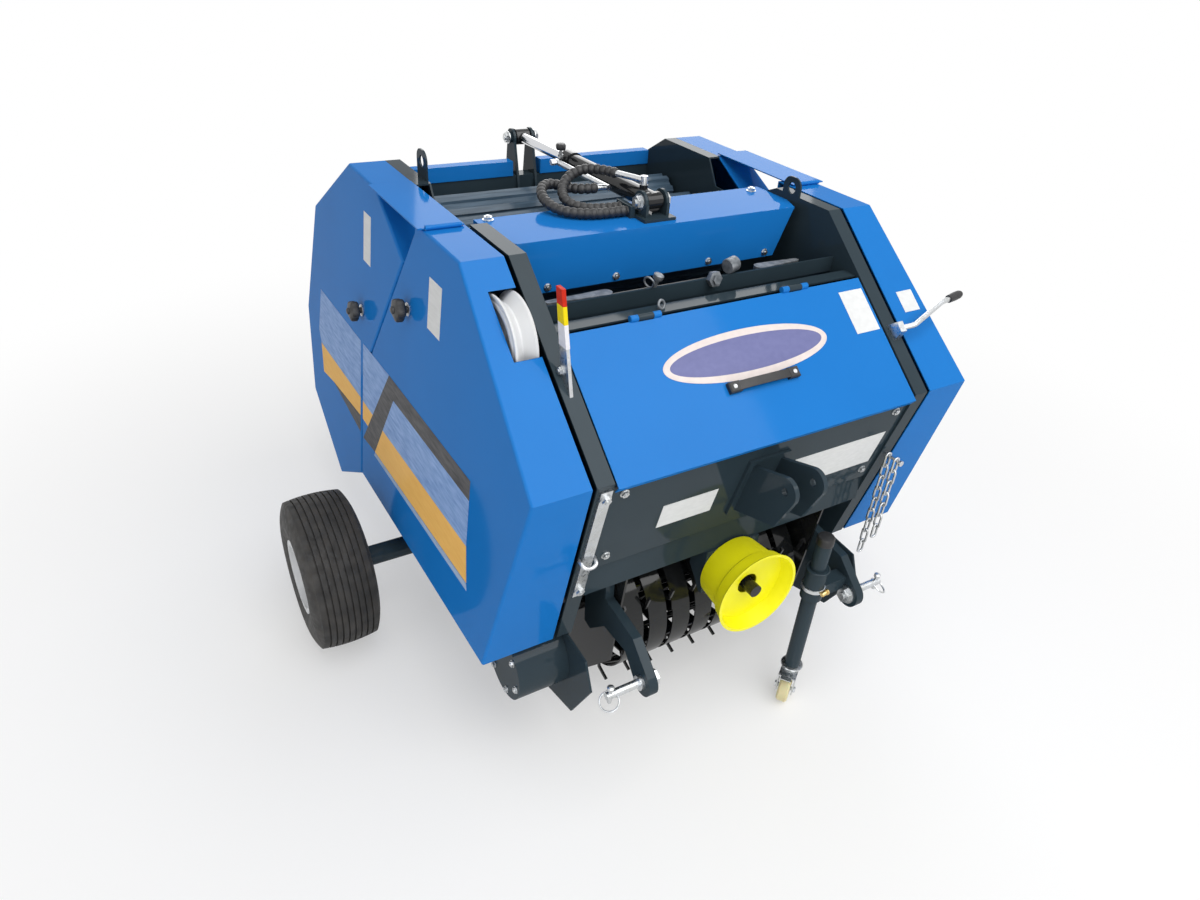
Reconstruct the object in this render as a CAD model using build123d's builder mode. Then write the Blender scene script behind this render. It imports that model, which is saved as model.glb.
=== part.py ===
from build123d import *
import math
import os

os.makedirs("parts", exist_ok=True)

# Small round baler for a compact tractor. Millimetres, +Z up from the ground, the hitch points to -Y.
# Left (-X) and right (+X) are as seen by someone who stands in front of the hitch.

# Side outline of the covers, as (Y, Z) corners
TOP_Z = 1288
TOP_FRONT = (-368, TOP_Z)
NOSE = (-788, 948)
FRONT_FOOT = (-653, 402)
SEAM_FOOT = (282, 364)
SEAM_BEND = (282, 700)
SEAM_TOP = (-108, 1271)
KEEL = (514, 225)
HEEL = (847, 382)
REAR = (913, 677)
SHOULDER = (782, 1067)
TOP_REAR = (418, TOP_Z)
FRONT_STRIP_END_Y = -158
GATE_STRIP_END_Y = 175
SEAM_GAP = 6

# Side plates, measured from the middle of the machine
PLATE_T = 5
FRONT_WEB_X = 442
GATE_WEB_X = 452
FRONT_STRIP_X = 484
GATE_STRIP_X = 494.7

# Side covers: folded sheet whose outer panel leans
HOOD_IN_X = 495
HOOD_TOP_X = 598
HOOD_LEAN = 0.099
HOOD_T = 3
HOOD_BEND_R = 7
KNOB_FRONT = (-82, 1068)
KNOB_GATE = (288, 914)
STUD_R = 12
STUD_GAP = 0.3

# Tailgate pivot
PIVOT = (-73, 1165)
PIVOT_R = 16
PIVOT_CLEAR = 0.1
EAR_R = 42

# Bale chamber
CHAMBER = (332, 750)
ROLLER_PITCH_R = 365
ROLLER_R = 72
ROLLER_FLUTE = 7
ROLLER_FLUTES = 10
ROLLER_STEP = 360 / 14
ROLLER_FIRST = 108
ROLLER_END_GAP = 5
ROLLER_SHAFT_R = 20
ROLLER_WALL = 3
ROLLER_DISC_T = 8
ROLLER_DISC_INSET = 20
ROLLER_DISC_HOLE_R = 11

# Axle and wheels
AXLE = (43, 228.5)
AXLE_R = 30
AXLE_FIT = 0.2
TYRE_R = 228.5
TYRE_W = 195
WHEEL_GAP = 87
RIM_R = 104
STUB_R = 20
STUB_SHORT = 29
SHOULDER_BACK = 104
HUB_CLEAR = 0.1
TYRE_SEAT = 0.3
TRACK_X = HOOD_TOP_X + HOOD_LEAN * (TOP_Z - SEAM_FOOT[1]) + WHEEL_GAP + TYRE_W / 2
STUB_END_X = TRACK_X - STUB_SHORT
AXLE_END_X = TRACK_X - SHOULDER_BACK

# Cross beam and lifting cylinder
BEAM_FRONT_Y = -268
BEAM_REAR_Y = -78
BEAM_TOP_Z = 1270
BEAM_LOW_Z = 1140
BEAM_CORNER = 60
BEAM_T = 6
BEAM_TOP_X = 417
BEAM_LOW_X = 367
RAM_X = -10
RAM_BASE = (-200, 1309)
RAM_EYE = (554, 1292)
BARREL_R = 24
BARREL_L = 444
BARREL_TAIL = 15
GLAND_R = 28
GLAND_L = 42
ROD_R = 15
ROD_CLEAR = 0.1
ROD_IN = 80
CAVITY_FROM = 120
RAM_PIN_R = 12
RAM_PIN_CLEAR = 0.1
EAR_T = 8
EAR_SIDE_GAP = 5
BARREL_EYE_W = 44
PORT_R = 11
PORT_H = 6
BASE_PORT = 40
GLAND_PORT = BARREL_L - 20
PIPE_R = 8
PIPE_TURN = 21
HOSE_R = 13
HOSE_SEAT_W = 14
HOSE_END_X = -71

# Front lid over the twine box
LID_TOP = (-523, 1160)
LID_LOW = (-797, 938)
LID_T = 3
LID_X = 437
LID_LIP = 22
HINGE_X = 220
HINGE_W = 40
HINGE_R = 8
HINGE_PIN_R = 3
HINGE_CLEAR = 0.2
HINGE_SIDE_GAP = 0.5
HANDLE_AT = 205
HANDLE_X = 14
HANDLE_L = 206
HANDLE_W = 26
HANDLE_H = 18
HANDLE_T = 6
HANDLE_FOOT = 24

# Hitch
LINK_PIN = (-844, 367)
LINK_PIN_R = 11
LINK_PIN_TIP_X = 429
LINK_PIN_END_X = 452
LINK_PIN_TIP_R = 10
ARM_X = 341
ARM_T = 25
ARM_EYE_R = 38
TOP_LINK = (-878, 862)
TOP_LINK_R = 35
TOP_LINK_BORE_R = 9.6
TOP_LINK_X = 36
TOP_LINK_T = 12
PIN_FIT = 0.1
COLLAR_W = 10
NUT_W = 18

# Pick-up
REEL_FRONT_Y = -718
REEL_TIP_R = 230
REEL = (REEL_FRONT_Y + REEL_TIP_R, 305)
REEL_TUBE_R = 36
REEL_BAR_R = 125
REEL_BAR_THICK_R = 10
REEL_BARS = 4
REEL_FIRST = 238
REEL_X = 312
REEL_SHAFT_R = 16
REEL_ROOM = 9
TINE_W = 6
TINE_PITCH = 75
TINE_COUNT = 9
TINE_BEND = 32
TINE_T = 4
BAND_IN = 43
BAND_R = REEL_TIP_R - BAND_IN
BAND_T = 4
BAND_W = 56
BAND_BAR_R = 12
END_PLATE_X = 318
END_PLATE_T = 6

# Power input
PTO_Z = 490
PTO_SHAFT_R = 17.5
SHAFT_CLEAR = 0.1
JOURNAL_R = 15
SHAFT_IN = 30
SHAFT_L = 90
FLANGE_R = 50
FLANGE_W = 20
GUARD_FRONT_Y = -825
GUARD_R = 122

# Twine pulley
PULLEY = (-444, 1130)
PULLEY_R = 104
PULLEY_IN_X = 498
PULLEY_W = 54
PULLEY_SHAFT_R = 12
PULLEY_ROOM = 7

# Parking jack with castor
JACK = (225, -808)
SLEEVE_R = 30
LEG_R = 22
LEG_CLEAR = 0.3
SLEEVE_LOW_Z = 374
SLEEVE_TOP_Z = 476
LEG_TOP_Z = 581
CASTOR_TRAIL = 38
CASTOR_TURN = 35
CASTOR_R = 44
CASTOR_W = 32
CASTOR_HEAD = 20
LEG_LOW_Z = 2 * CASTOR_R + CASTOR_HEAD

# Bridging flaps on top
FLAP_IN_X = 500
FLAP_OUT_X = 612
FLAP_FRONT_Y = -163
FLAP_REAR_Y = 193
FLAP_T = 3
FLAP_LIFT = 6

SIDES = {"left": -1, "right": 1}


def write(part, name):
    """Label a finished piece and write it."""
    part.label = name
    export_step(part, f"parts/{name}.step")


def slab(points, x_in, x_out, side=1):
    """Plate with a (Y, Z) outline between two distances from the middle plane, on one side."""
    with BuildSketch(Plane.YZ.offset(side * x_in)) as outline:
        Polygon(points)
    extrude(outline.sketch, amount=side * (x_out - x_in))


def strip(points, thick, x_in, x_out, side=1):
    """Folded strip that follows an open (Y, Z) line, with its thickness to the left of the line."""
    with BuildSketch(Plane.YZ.offset(side * x_in)) as fold:
        with BuildLine():
            Polyline(*points)
            offset(amount=thick, side=Side.LEFT, kind=Kind.INTERSECTION)
        make_face()
    extrude(fold.sketch, amount=side * (x_out - x_in))


def rod_x(x_from, x_to, centre, radius, mode=Mode.ADD):
    """Round bar along X at a (Y, Z) centre."""
    with Locations(((x_from + x_to) / 2, centre[0], centre[1])):
        Cylinder(radius, abs(x_to - x_from), rotation=(0, 90, 0), mode=mode)


def on_line(start, end, z):
    """Y of the straight line between two (Y, Z) points at a height."""
    return start[0] + (end[0] - start[0]) * (z - start[1]) / (end[1] - start[1])


def seam_point(z, shift=0):
    """Point of the slanting seam between the front and the tailgate at a height."""
    return (on_line(SEAM_BEND, SEAM_TOP, z) + shift, z)


def hood_x(z):
    """Half width of the leaning outer panel at a height."""
    return HOOD_TOP_X + HOOD_LEAN * (TOP_Z - z)


def around(centre, radius, degrees):
    """Point at an angle on a circle in the (Y, Z) plane, counted from +Y to +Z."""
    turn = math.radians(degrees)
    return (centre[0] + radius * math.cos(turn), centre[1] + radius * math.sin(turn))


# Front side plates, with the tailgate pivot, the studs of the covers and the lifting lug
FRONT_WEB = [
    (FRONT_STRIP_END_Y, TOP_Z),
    TOP_FRONT,
    NOSE,
    FRONT_FOOT,
    (-600, 300),
    (AXLE[0] - 140, 170),
    (AXLE[0] + 70, 170),
    (200, 290),
    (375, 300),
    (375, 480),
    seam_point(SEAM_BEND[1], 70),
    seam_point(1215, 70),
    (PIVOT[0] + 20, PIVOT[1] + 75),
]
FRONT_STRIP = [(FRONT_STRIP_END_Y, TOP_Z), TOP_FRONT, NOSE, FRONT_FOOT]
LUG_FRONT = (-218, 1335)
LUG_GATE = (227, 1362)
LUG_HALF = 34
LUG_HOLE_R = 15
LUG_HOLE_DOWN = 30


def lug(side, top, low_z, x_in):
    """Lifting lug: a rounded plate with an eye, standing on the web."""
    with BuildSketch(Plane.YZ.offset(side * x_in)) as plate:
        with Locations((top[0], (top[1] + low_z) / 2)):
            Rectangle(2 * LUG_HALF, top[1] - low_z)
        fillet(plate.vertices().group_by(Axis.Y)[-1], LUG_HALF * 0.8)
        with Locations((top[0], top[1] - LUG_HOLE_DOWN)):
            Circle(LUG_HOLE_R, mode=Mode.SUBTRACT)
    extrude(plate.sketch, amount=side * PLATE_T)


def stud(side, place, x_in):
    """Stud that carries a side cover at its knob."""
    reach = hood_x(place[1] + STUD_R) - HOOD_T * 1.05 - STUD_GAP
    rod_x(side * x_in, side * reach, place, STUD_R)


for name, side in SIDES.items():
    with BuildPart() as front_plate:
        slab(FRONT_WEB, FRONT_WEB_X, FRONT_WEB_X + PLATE_T, side)
        strip(FRONT_STRIP, PLATE_T, FRONT_WEB_X + PLATE_T, FRONT_STRIP_X, side)
        rod_x(side * FRONT_WEB_X, side * (GATE_WEB_X + 2 * PLATE_T), PIVOT, PIVOT_R)
        stud(side, KNOB_FRONT, FRONT_WEB_X + PLATE_T)
        rod_x(side * (FRONT_WEB_X - 10), side * (FRONT_WEB_X + 20), AXLE, AXLE_R + AXLE_FIT, Mode.SUBTRACT)
        if side > 0:
            lug(side, LUG_FRONT, TOP_Z - 60, FRONT_WEB_X)
        else:
            hole_x = FRONT_WEB_X - 10
            rod_x(-hole_x, -hole_x - 30, REEL, REEL_SHAFT_R + SHAFT_CLEAR, Mode.SUBTRACT)
    write(front_plate.part, f"front_plate_{name}")

# Tailgate side plates
GATE_FRONT_Y = SEAM_FOOT[0] + SEAM_GAP
GATE_WEB = [
    (GATE_STRIP_END_Y, TOP_Z),
    (GATE_STRIP_END_Y - 50, 1213),
    (PIVOT[0], PIVOT[1] + EAR_R),
    (PIVOT[0] - EAR_R, PIVOT[1]),
    (PIVOT[0], PIVOT[1] - EAR_R),
    seam_point(1080, SEAM_GAP),
    (GATE_FRONT_Y, SEAM_BEND[1]),
    (GATE_FRONT_Y, SEAM_FOOT[1] - 4),
    KEEL,
    HEEL,
    REAR,
    SHOULDER,
    TOP_REAR,
]
GATE_STRIP = [
    (GATE_FRONT_Y, SEAM_FOOT[1] - 4),
    KEEL,
    HEEL,
    REAR,
    SHOULDER,
    TOP_REAR,
    (GATE_STRIP_END_Y, TOP_Z),
]

for name, side in SIDES.items():
    with BuildPart() as gate_plate:
        slab(GATE_WEB, GATE_WEB_X, GATE_WEB_X + PLATE_T, side)
        strip(GATE_STRIP, PLATE_T, GATE_WEB_X + PLATE_T, GATE_STRIP_X, side)
        stud(side, KNOB_GATE, GATE_WEB_X + PLATE_T)
        hole_x = GATE_WEB_X - 10
        rod_x(side * hole_x, side * (hole_x + 40), PIVOT, PIVOT_R + PIVOT_CLEAR, Mode.SUBTRACT)
        if side < 0:
            lug(side, LUG_GATE, TOP_Z - 60, GATE_WEB_X)
    write(gate_plate.part, f"gate_plate_{name}")

# Side covers
FRONT_HOOD = [
    (seam_point(TOP_Z - 22)[0], TOP_Z),
    TOP_FRONT,
    NOSE,
    FRONT_FOOT,
    SEAM_FOOT,
    SEAM_BEND,
    seam_point(TOP_Z - 22),
]
GATE_HOOD = [
    (GATE_STRIP_END_Y + 10, TOP_Z),
    (PIVOT[0] + 40, PIVOT[1] + 5),
    seam_point(1120, SEAM_GAP),
    (GATE_FRONT_Y, SEAM_BEND[1]),
    (GATE_FRONT_Y, SEAM_FOOT[1] - 4),
    KEEL,
    HEEL,
    REAR,
    SHOULDER,
    TOP_REAR,
]


def hood(points):
    """Right side cover: a tray of folded sheet, open towards the machine."""
    with BuildPart() as tray:
        slab(points, HOOD_IN_X, HOOD_TOP_X + 2 * HOOD_LEAN * TOP_Z)
        lean = Plane(origin=(HOOD_TOP_X, 0, TOP_Z), z_dir=(1, 0, HOOD_LEAN))
        split(bisect_by=lean, keep=Keep.BOTTOM)
        fillet(tray.faces().sort_by(Axis.X)[-1].edges(), HOOD_BEND_R)
        offset(amount=-HOOD_T, openings=tray.faces().sort_by(Axis.X)[0])
    return tray.part


front_tray = hood(FRONT_HOOD)
rear_tray = hood(GATE_HOOD)
for name, side in SIDES.items():
    with BuildPart() as front_hood:
        add(front_tray)
        if side < 0:
            mirror(about=Plane.YZ, mode=Mode.REPLACE)
            notch_out = PULLEY_IN_X + PULLEY_W + PULLEY_ROOM
            rod_x(-HOOD_IN_X + 1, -notch_out, PULLEY, PULLEY_R + PULLEY_ROOM, Mode.SUBTRACT)
    write(front_hood.part, f"front_hood_{name}")
    with BuildPart() as rear_hood:
        add(rear_tray)
        if side < 0:
            mirror(about=Plane.YZ, mode=Mode.REPLACE)
    write(rear_hood.part, f"rear_hood_{name}")

# Flaps that bridge the two covers on top
FLAP_AXIS = (FLAP_FRONT_Y, TOP_Z + FLAP_LIFT)
for name, side in SIDES.items():
    with BuildPart() as flap:
        flap_low = FLAP_AXIS[1] - FLAP_T
        slab(
            [
                (FLAP_FRONT_Y, flap_low),
                (FLAP_REAR_Y, flap_low),
                (FLAP_REAR_Y, flap_low + FLAP_T),
                (FLAP_FRONT_Y, flap_low + FLAP_T),
            ],
            FLAP_IN_X,
            FLAP_OUT_X,
            side,
        )
        rod_x(side * (FLAP_IN_X + 8), side * (HOOD_TOP_X - 4), FLAP_AXIS, FLAP_LIFT - 0.3)
    write(flap.part, f"flap_{name}")


# Chamber rollers: folded sheet tubes with flutes, carried on stub shafts by pierced end discs
def roller(degrees, shaft_x):
    """One fluted roller of the bale chamber, between the side plates."""
    centre = around(CHAMBER, ROLLER_PITCH_R, degrees)
    drum_x = FRONT_WEB_X - ROLLER_END_GAP
    step = 360 / ROLLER_FLUTES
    rim = []
    for flute in range(ROLLER_FLUTES):
        for part_turn, depth in ((-0.3, 1), (-0.2, 0), (0.2, 0), (0.3, 1)):
            rim.append(around(centre, ROLLER_R - depth * ROLLER_FLUTE, (flute + part_turn) * step))
    with BuildSketch(Plane.YZ.offset(-drum_x)) as section:
        Polygon(rim)
        offset(amount=-ROLLER_WALL, kind=Kind.INTERSECTION, mode=Mode.SUBTRACT)
    extrude(section.sketch, amount=2 * drum_x)
    disc_r = ROLLER_R - ROLLER_FLUTE - ROLLER_WALL / 2
    for end in (-1, 1):
        disc_out = end * (drum_x - ROLLER_DISC_INSET)
        disc_in = disc_out - end * ROLLER_DISC_T
        rod_x(disc_in, disc_out, centre, disc_r)
        hole = around(centre, (disc_r + ROLLER_SHAFT_R) / 2, degrees)
        rod_x(disc_in, disc_out, hole, ROLLER_DISC_HOLE_R, Mode.SUBTRACT)
        rod_x(disc_in, end * shaft_x, centre, ROLLER_SHAFT_R)


GATE_ROLLER_TURNS = [ROLLER_FIRST - ROLLER_STEP * k for k in range(8)]
FRONT_ROLLER_TURNS = [ROLLER_FIRST - ROLLER_STEP * k for k in (8, 9, 11, 12, 13)]

with BuildPart() as front_rollers:
    for turn in FRONT_ROLLER_TURNS:
        roller(turn, FRONT_WEB_X)
write(front_rollers.part, "front_rollers")

with BuildPart() as gate_rollers:
    for turn in GATE_ROLLER_TURNS:
        roller(turn, GATE_WEB_X)
write(gate_rollers.part, "gate_rollers")

# Cross beam over the front, folded from plate
with BuildPart() as cross_beam:
    with BuildSketch(Plane.XY.offset(BEAM_TOP_Z - BEAM_T)):
        Polygon(
            [
                (-FRONT_WEB_X, BEAM_REAR_Y),
                (FRONT_WEB_X, BEAM_REAR_Y),
                (FRONT_WEB_X, BEAM_FRONT_Y + BEAM_CORNER),
                (BEAM_TOP_X, BEAM_FRONT_Y),
                (-BEAM_TOP_X, BEAM_FRONT_Y),
                (-FRONT_WEB_X, BEAM_FRONT_Y + BEAM_CORNER),
            ]
        )
    extrude(amount=BEAM_T)
    with BuildSketch(Plane.XZ.offset(-BEAM_FRONT_Y)):
        Polygon(
            [
                (-BEAM_TOP_X, BEAM_TOP_Z),
                (BEAM_TOP_X, BEAM_TOP_Z),
                (BEAM_LOW_X, BEAM_LOW_Z),
                (-BEAM_LOW_X, BEAM_LOW_Z),
            ]
        )
    extrude(amount=-BEAM_T)
    with Locations((0, BEAM_REAR_Y - BEAM_T / 2, BEAM_TOP_Z - 30)):
        Box(2 * FRONT_WEB_X, BEAM_T, 60)
write(cross_beam.part, "cross_beam")

# Bracket of the lifting cylinder on the beam
EAR_IN = BARREL_EYE_W / 2 + EAR_SIDE_GAP
with BuildPart() as ram_bracket:
    with Locations((RAM_X, RAM_BASE[0], BEAM_TOP_Z + EAR_T / 2)):
        Box(2 * (EAR_IN + EAR_T) + 24, 96, EAR_T)
    for end in (-1, 1):
        with BuildSketch(Plane.YZ.offset(RAM_X + end * EAR_IN)):
            with Locations((RAM_BASE[0], (BEAM_TOP_Z + RAM_BASE[1]) / 2)):
                Rectangle(64, RAM_BASE[1] - BEAM_TOP_Z)
            with Locations(RAM_BASE):
                Circle(28)
        extrude(amount=end * EAR_T)
    rod_x(RAM_X - EAR_IN - 2 * EAR_T, RAM_X + EAR_IN + 2 * EAR_T, RAM_BASE, RAM_PIN_R)
    seat_x = HOSE_END_X + 0.3
    with Locations((seat_x + HOSE_SEAT_W / 2, RAM_BASE[0] + 34, BEAM_TOP_Z + HOSE_R + 2)):
        Box(HOSE_SEAT_W, 68, 2 * HOSE_R + 4)
write(ram_bracket.part, "ram_bracket")

# Lifting cylinder along its own line
RAM_DIR = (0, RAM_EYE[0] - RAM_BASE[0], RAM_EYE[1] - RAM_BASE[1])
RAM_LENGTH = math.hypot(RAM_DIR[1], RAM_DIR[2])
ram_plane = Plane(origin=(RAM_X, *RAM_BASE), x_dir=(1, 0, 0), z_dir=RAM_DIR)
with BuildPart(ram_plane) as cylinder_barrel:
    with Locations((0, 0, -BARREL_TAIL)):
        Cylinder(BARREL_R, BARREL_TAIL + BARREL_L, align=(Align.CENTER, Align.CENTER, Align.MIN))
    Cylinder(BARREL_R - 2, BARREL_EYE_W, rotation=(0, 90, 0))
    with Locations((0, 0, BARREL_L)):
        Cylinder(GLAND_R, GLAND_L, align=(Align.CENTER, Align.CENTER, Align.MAX))
    with Locations((0, 0, CAVITY_FROM)):
        Cylinder(ROD_R + 3, BARREL_L - GLAND_L - CAVITY_FROM, align=(Align.CENTER, Align.CENTER, Align.MIN),
                 mode=Mode.SUBTRACT)
        Cylinder(ROD_R + ROD_CLEAR, BARREL_L, align=(Align.CENTER, Align.CENTER, Align.MIN),
                 mode=Mode.SUBTRACT)
    Cylinder(RAM_PIN_R + RAM_PIN_CLEAR, 4 * BARREL_R, rotation=(0, 90, 0), mode=Mode.SUBTRACT)
    with Locations((0, -BARREL_R / 2 - PORT_H / 2, BASE_PORT)):
        Cylinder(PORT_R, BARREL_R + PORT_H, rotation=(90, 0, 0))
    with Locations((-GLAND_R / 2 - PORT_H / 2, 0, GLAND_PORT)):
        Box(GLAND_R + PORT_H, 2 * PORT_R, 2 * PORT_R)
    with Locations((0, 0, CAVITY_FROM)):
        Cylinder(ROD_R + ROD_CLEAR, BARREL_L, align=(Align.CENTER, Align.CENTER, Align.MIN),
                 mode=Mode.SUBTRACT)
write(cylinder_barrel.part, "cylinder_barrel")

with BuildPart(ram_plane) as cylinder_rod:
    with Locations((0, 0, BARREL_L - ROD_IN)):
        Cylinder(ROD_R, RAM_LENGTH - BARREL_L + ROD_IN, align=(Align.CENTER, Align.CENTER, Align.MIN))
    with Locations((0, 0, RAM_LENGTH)):
        Cylinder(BARREL_R, BARREL_EYE_W, rotation=(0, 90, 0))
        Cylinder(RAM_PIN_R + 0.5, 2 * BARREL_EYE_W, rotation=(0, 90, 0), mode=Mode.SUBTRACT)
write(cylinder_rod.part, "cylinder_rod")

# Cross tube of the tailgate with the plates that take the rod's eye
GATE_TUBE = (535, 1160)
GATE_TUBE_W = 50
with BuildPart() as rod_bracket:
    with Locations((0, GATE_TUBE[0], GATE_TUBE[1])):
        Box(2 * GATE_WEB_X, GATE_TUBE_W, GATE_TUBE_W)
    for end in (-1, 1):
        with BuildSketch(Plane.YZ.offset(RAM_X + end * EAR_IN)):
            Polygon(
                [
                    (RAM_EYE[0] - 22, RAM_EYE[1]),
                    (GATE_TUBE[0] - 40, GATE_TUBE[1] - 20),
                    (GATE_TUBE[0] + 60, GATE_TUBE[1] - 20),
                    (RAM_EYE[0] + 22, RAM_EYE[1]),
                ]
            )
            with Locations(RAM_EYE):
                Circle(26)
        extrude(amount=end * EAR_T)
        bolt_x = RAM_X + end * EAR_IN
        rod_x(bolt_x + end * EAR_T, bolt_x + end * 2 * EAR_T, RAM_EYE, RAM_PIN_R + 4)
write(rod_bracket.part, "rod_bracket")

# Blue bar on the tailgate's slope, in two lengths beside the bracket
BAR_H = 45
BAR_D = 36
BAR_Y = GATE_TUBE[0] - 10
BAR_GAP_X = 48
with BuildPart() as gate_bar:
    for end in (-1, 1):
        bar_in = end * BAR_GAP_X + RAM_X
        bar_out = end * GATE_WEB_X
        with Locations(((bar_in + bar_out) / 2, BAR_Y, GATE_TUBE[1] + GATE_TUBE_W / 2 + BAR_H / 2)):
            Box(abs(bar_out - bar_in), BAR_D, BAR_H)
write(gate_bar.part, "gate_bar")


def low_slope(z, inset=0):
    """Point of the front's lower slope at a height, set back from the outline."""
    return (on_line(NOSE, FRONT_FOOT, z) + inset, z)


# Lower front panel and the cross tube behind it
PANEL_T = 4
PANEL_INSET = 6
PANEL_TOP_Z = 930
PANEL_LOW_Z = 652
CROSS_TUBE = (-660, 606)
CROSS_TUBE_W = 80
with BuildPart() as front_panel:
    slab(
        [
            low_slope(PANEL_TOP_Z, PANEL_INSET),
            low_slope(PANEL_LOW_Z, PANEL_INSET),
            low_slope(PANEL_LOW_Z, 50),
            low_slope(PANEL_LOW_Z + PANEL_T, 50),
            low_slope(PANEL_LOW_Z + PANEL_T, PANEL_INSET + PANEL_T),
            low_slope(PANEL_TOP_Z - PANEL_T, PANEL_INSET + PANEL_T),
            low_slope(PANEL_TOP_Z - PANEL_T, 50),
            low_slope(PANEL_TOP_Z, 50),
        ],
        -FRONT_WEB_X,
        FRONT_WEB_X,
    )
write(front_panel.part, "front_panel")

with BuildPart() as cross_tube:
    with Locations((0, CROSS_TUBE[0], CROSS_TUBE[1])):
        Box(2 * FRONT_WEB_X, CROSS_TUBE_W, CROSS_TUBE_W)
write(cross_tube.part, "cross_tube")

# Twine box behind the panel: floor and back wall
BOX_FLOOR_Z = 690
BOX_FRONT_Y = -690
BOX_BACK_Y = -230
BOX_TOP_Z = 1090
with BuildPart() as twine_box:
    slab(
        [
            (BOX_FRONT_Y, BOX_FLOOR_Z),
            (BOX_BACK_Y, BOX_FLOOR_Z),
            (BOX_BACK_Y, BOX_TOP_Z),
            (BOX_BACK_Y - PANEL_T, BOX_TOP_Z),
            (BOX_BACK_Y - PANEL_T, BOX_FLOOR_Z + PANEL_T),
            (BOX_FRONT_Y, BOX_FLOOR_Z + PANEL_T),
        ],
        -FRONT_WEB_X,
        FRONT_WEB_X,
    )
write(twine_box.part, "twine_box")

# Hinge bar that carries the lid
LID_AXIS = (LID_TOP[0] + 4, LID_TOP[1] + 4)
with BuildPart() as hinge_bar:
    slab(
        [
            (LID_AXIS[0] + 12, LID_AXIS[1] - 4),
            (LID_AXIS[0] + 52, LID_AXIS[1] - 4),
            (LID_AXIS[0] + 52, LID_AXIS[1] - 44),
            (LID_AXIS[0] + 47, LID_AXIS[1] - 44),
            (LID_AXIS[0] + 47, LID_AXIS[1] - 9),
            (LID_AXIS[0] + 12, LID_AXIS[1] - 9),
        ],
        -FRONT_WEB_X,
        FRONT_WEB_X,
    )
    for place in (-HINGE_X, HINGE_X):
        rod_x(place - HINGE_W / 2, place + HINGE_W / 2, LID_AXIS, HINGE_R)
        with Locations((place, LID_AXIS[0] + 8, LID_AXIS[1] - 6.5)):
            Box(HINGE_W, 14, 5)
        hole_from = place - HINGE_W
        rod_x(hole_from, hole_from + 2 * HINGE_W, LID_AXIS, HINGE_PIN_R + HINGE_CLEAR, Mode.SUBTRACT)
write(hinge_bar.part, "hinge_bar")

# Lid with its folded lower lip and hinge knuckles
LID_RUN = (LID_LOW[0] - LID_TOP[0], LID_LOW[1] - LID_TOP[1])
LID_LENGTH = math.hypot(*LID_RUN)
LID_DOWN = (LID_RUN[0] / LID_LENGTH, LID_RUN[1] / LID_LENGTH)
LID_NORMAL = (LID_DOWN[1], -LID_DOWN[0])


def lid_point(along, up):
    """Point on the lid's slope: distance down from its top edge and height over its skin."""
    y = LID_TOP[0] + LID_DOWN[0] * along + LID_NORMAL[0] * up
    z = LID_TOP[1] + LID_DOWN[1] * along + LID_NORMAL[1] * up
    return (y, z)


with BuildPart() as front_lid:
    slab(
        [
            lid_point(0, 0),
            lid_point(LID_LENGTH, 0),
            lid_point(LID_LENGTH, -LID_LIP),
            lid_point(LID_LENGTH - LID_T, -LID_LIP),
            lid_point(LID_LENGTH - LID_T, -LID_T),
            lid_point(0, -LID_T),
        ],
        -LID_X,
        LID_X,
    )
    for place in (-HINGE_X, HINGE_X):
        notch = HINGE_W / 2 + HINGE_SIDE_GAP
        rod_x(place - notch, place + notch, LID_AXIS, HINGE_R + 1, Mode.SUBTRACT)
        reach = HINGE_W + HINGE_SIDE_GAP
        for end in (-1, 1):
            near = place + end * (HINGE_W / 2 + HINGE_SIDE_GAP)
            rod_x(near, place + end * reach, LID_AXIS, HINGE_R)
        rod_x(place - reach, place + reach, LID_AXIS, HINGE_PIN_R)
write(front_lid.part, "front_lid")

# Strap handle of the lid: a low bridge with room for the fingers
handle_plane = Plane(origin=(HANDLE_X, *lid_point(HANDLE_AT, 0)), x_dir=(1, 0, 0), z_dir=(0, *LID_DOWN))
with BuildPart() as lid_handle:
    with BuildSketch(handle_plane.offset(-HANDLE_W / 2)):
        with Locations((0, HANDLE_H / 2)):
            Rectangle(HANDLE_L, HANDLE_H)
        with Locations((0, (HANDLE_H - HANDLE_T) / 2)):
            Rectangle(HANDLE_L - 2 * HANDLE_FOOT, HANDLE_H - HANDLE_T, mode=Mode.SUBTRACT)
    extrude(amount=HANDLE_W)
write(lid_handle.part, "lid_handle")

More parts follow.
